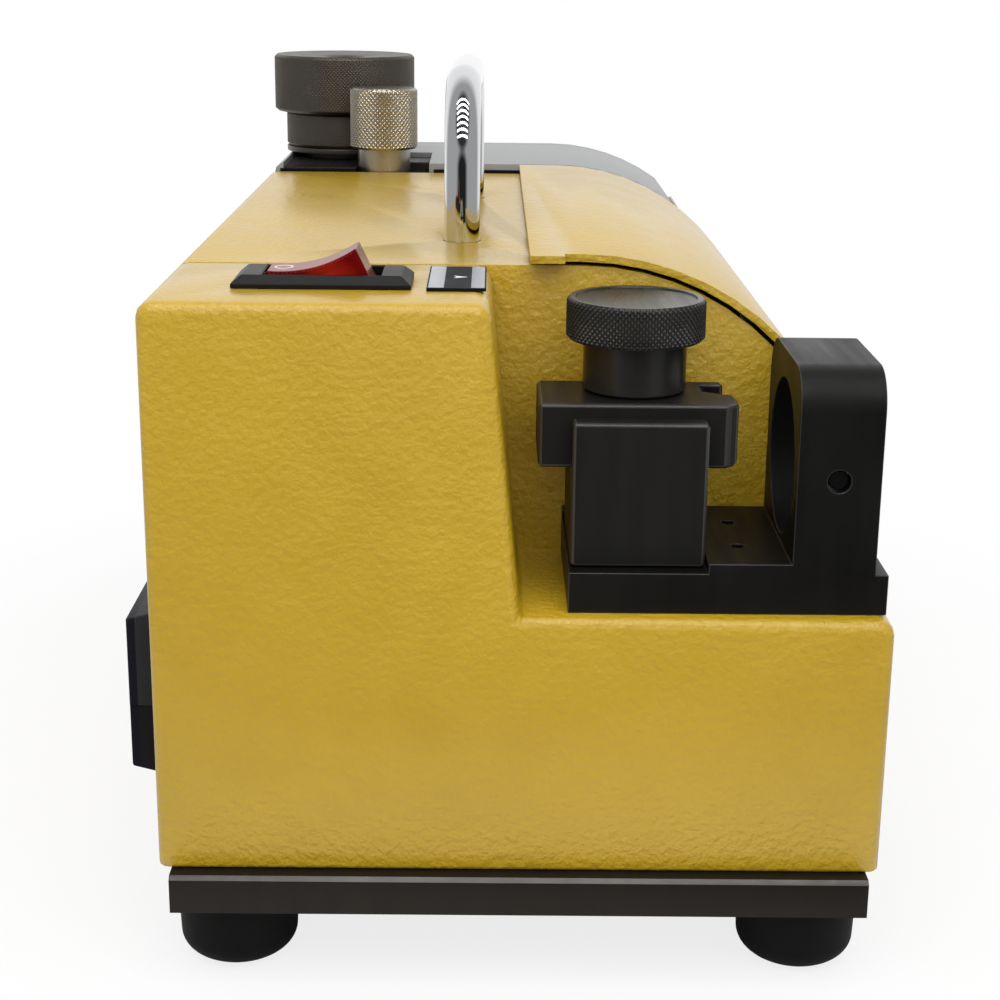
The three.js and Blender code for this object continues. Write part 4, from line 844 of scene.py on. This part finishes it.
def make_world():
    """White behind the object; metal mirrors that white, and a dimmer room in front."""
    world = bpy.data.worlds.new("studio")
    scene.world = world
    world.use_nodes = True
    tree = world.node_tree
    background = tree.nodes["Background"]

    def node(kind, operation=None):
        made = tree.nodes.new(kind)
        if operation:
            made.operation = operation
        return made

    def ramp(value, *stops):
        made = node("ShaderNodeValToRGB")
        elements = made.color_ramp.elements
        while len(elements) < len(stops):
            elements.new(0.5)
        for element, (where, grey) in zip(elements, stops):
            element.position = where
            element.color = (grey, grey, grey, 1)
        tree.links.new(value, made.inputs["Fac"])
        return made.outputs["Color"]

    def mixed(fac, a, b, kind="MIX"):
        made = node("ShaderNodeMix")
        made.data_type = "RGBA"
        made.blend_type = kind
        for socket, value in zip((made.inputs[0], made.inputs[6], made.inputs[7]), (fac, a, b)):
            if hasattr(value, "is_output"):
                tree.links.new(value, socket)
            elif socket.type == "RGBA":
                socket.default_value = (value, value, value, 1)
            else:
                socket.default_value = value
        return made.outputs[2]

    look = node("ShaderNodeTexCoord").outputs["Generated"]
    split = node("ShaderNodeSeparateXYZ")
    tree.links.new(look, split.inputs[0])
    toward_front = node("ShaderNodeVectorMath", "DOT_PRODUCT")
    tree.links.new(look, toward_front.inputs[0])
    toward_front.inputs[1].default_value = (0, -0.96, -0.28)
    toward_tubes = node("ShaderNodeVectorMath", "DOT_PRODUCT")
    tree.links.new(look, toward_tubes.inputs[0])
    toward_tubes.inputs[1].default_value = (0, -0.6, 0.8)
    room = mixed(1.0, ramp(split.outputs["Y"], (0.30, ROOM_SIDES), (0.62, 1.0)),
                 ramp(toward_front.outputs["Value"], (0.80, 1.0), (0.93, 0.04)), "MULTIPLY")
    room = mixed(1.0, room, ramp(toward_tubes.outputs["Value"], (0.72, 1.0), (0.84, 0.08)), "MULTIPLY")
    path = node("ShaderNodeLightPath")
    white = node("ShaderNodeMath", "MAXIMUM")
    tree.links.new(path.outputs["Is Camera Ray"], white.inputs[0])
    tree.links.new(path.outputs["Is Transmission Ray"], white.inputs[1])
    light = mixed(path.outputs["Is Glossy Ray"], ROOM_LIGHT, room)
    tree.links.new(mixed(white.outputs[0], light, 1.0), background.inputs["Color"])


def make_floor():
    """A pale floor that keeps the object's shadow and fades into the white around it."""
    mesh = bpy.data.meshes.new("floor")
    corners = [(x * FLOOR_SIZE, y * FLOOR_SIZE, 0) for x, y in ((-1, -1), (1, -1), (1, 1), (-1, 1))]
    mesh.from_pydata(corners, [], [(0, 1, 2, 3)])
    floor = bpy.data.objects.new("floor", mesh)
    scene.collection.objects.link(floor)
    t = Tree("pale_floor")
    t.set(base_color=t.ramp(t.noise(40, 3), (0.3, 0.90), (0.7, 0.92)), roughness=0.9)
    camera_ray = t.nodes.new("ShaderNodeLightPath").outputs["Is Camera Ray"]
    glow = t.nodes.new("ShaderNodeEmission")
    glow.inputs["Color"].default_value = (1, 1, 1, 1)
    clear = t.nodes.new("ShaderNodeBsdfTransparent")
    pale, faded = t.nodes.new("ShaderNodeMixShader"), t.nodes.new("ShaderNodeMixShader")
    t.links.new(t.math("MULTIPLY", camera_ray, FLOOR_PALENESS), pale.inputs[0])
    t.links.new(t.shader.outputs[0], pale.inputs[1])
    t.links.new(glow.outputs[0], pale.inputs[2])
    t.links.new(t.ramp(t.distance((0, 0, 0)), (FLOOR_FADE[0], 0.0), (FLOOR_FADE[1], 1.0)), faded.inputs[0])
    t.links.new(pale.outputs[0], faded.inputs[1])
    t.links.new(clear.outputs[0], faded.inputs[2])
    t.links.new(faded.outputs[0], t.nodes["Material Output"].inputs["Surface"])
    mesh.materials.append(t.material)


def lamp(name, place, aim, size, power, mirrored=True):
    data = bpy.data.lights.new(name, "AREA")
    data.shape = "RECTANGLE"
    data.size, data.size_y = size
    data.energy = power
    obj = bpy.data.objects.new(name, data)
    scene.collection.objects.link(obj)
    obj.location = place
    obj.rotation_euler = (Vector(aim) - Vector(place)).to_track_quat("-Z", "Y").to_euler()
    obj.visible_glossy = mirrored


def make_lamps():
    """A bank of long tubes over the front, mirrored by the handle, and soft light from front and top."""
    middle, tubes, first, pitch, reach = Vector((0, 0, 0.2)), 7, 30, 8, 1.1
    for i in range(tubes):
        turn = math.radians(first + pitch * i)
        place = middle + Vector((0, -math.cos(turn), math.sin(turn))) * reach
        lamp(f"tube_{i}", place, middle, (1.3, 0.05), 1.3)
    lamp("front", (0, -1.3, 0.45), (0, -0.1, 0.1), (1.2, 0.6), 3.0, False)
    lamp("overhead", (0.1, 0.2, 1.25), (0, 0, 0.1), (1.2, 0.8), 2.0, False)


make_camera()
dress_nodes()
make_gauge()
make_chuck()
make_collets()
make_handle()
make_feet()
make_switch()
make_arrow_plate()
make_inlet()
make_lid_seal()
# The base plate's sloping chamfer gets the painted highlight material
rounded_node("base_plate", 0.2, segments=2, slopes=PAINTED_HIGHLIGHT_EDGE)
for node_name, rounding in (
        ("front_cover", 1.2), ("main_housing", 0.8), ("lid", 0.9), ("wheel_housing", 1.5),
        ("wheel_cover", 1.2),
        ("angle_port_sleeve", 0.5), ("collet_tray", 0.4), ("run_capacitor", 1.0), ("handle_nut_1", 0.4),
        ("handle_nut_2", 0.4), ("wheel_nut", 0.4), ("cover_screw_1", 0.3), ("cover_screw_2", 0.3),
        ("cover_screw_3", 0.3), ("cover_screw_4", 0.3), ("lid_hinge_pin", 0.3), ("grinding_wheel", 0.5)):
    rounded_node(node_name, rounding)
make_world()
make_floor()
make_lamps()

scene.view_settings.view_transform = "Standard"
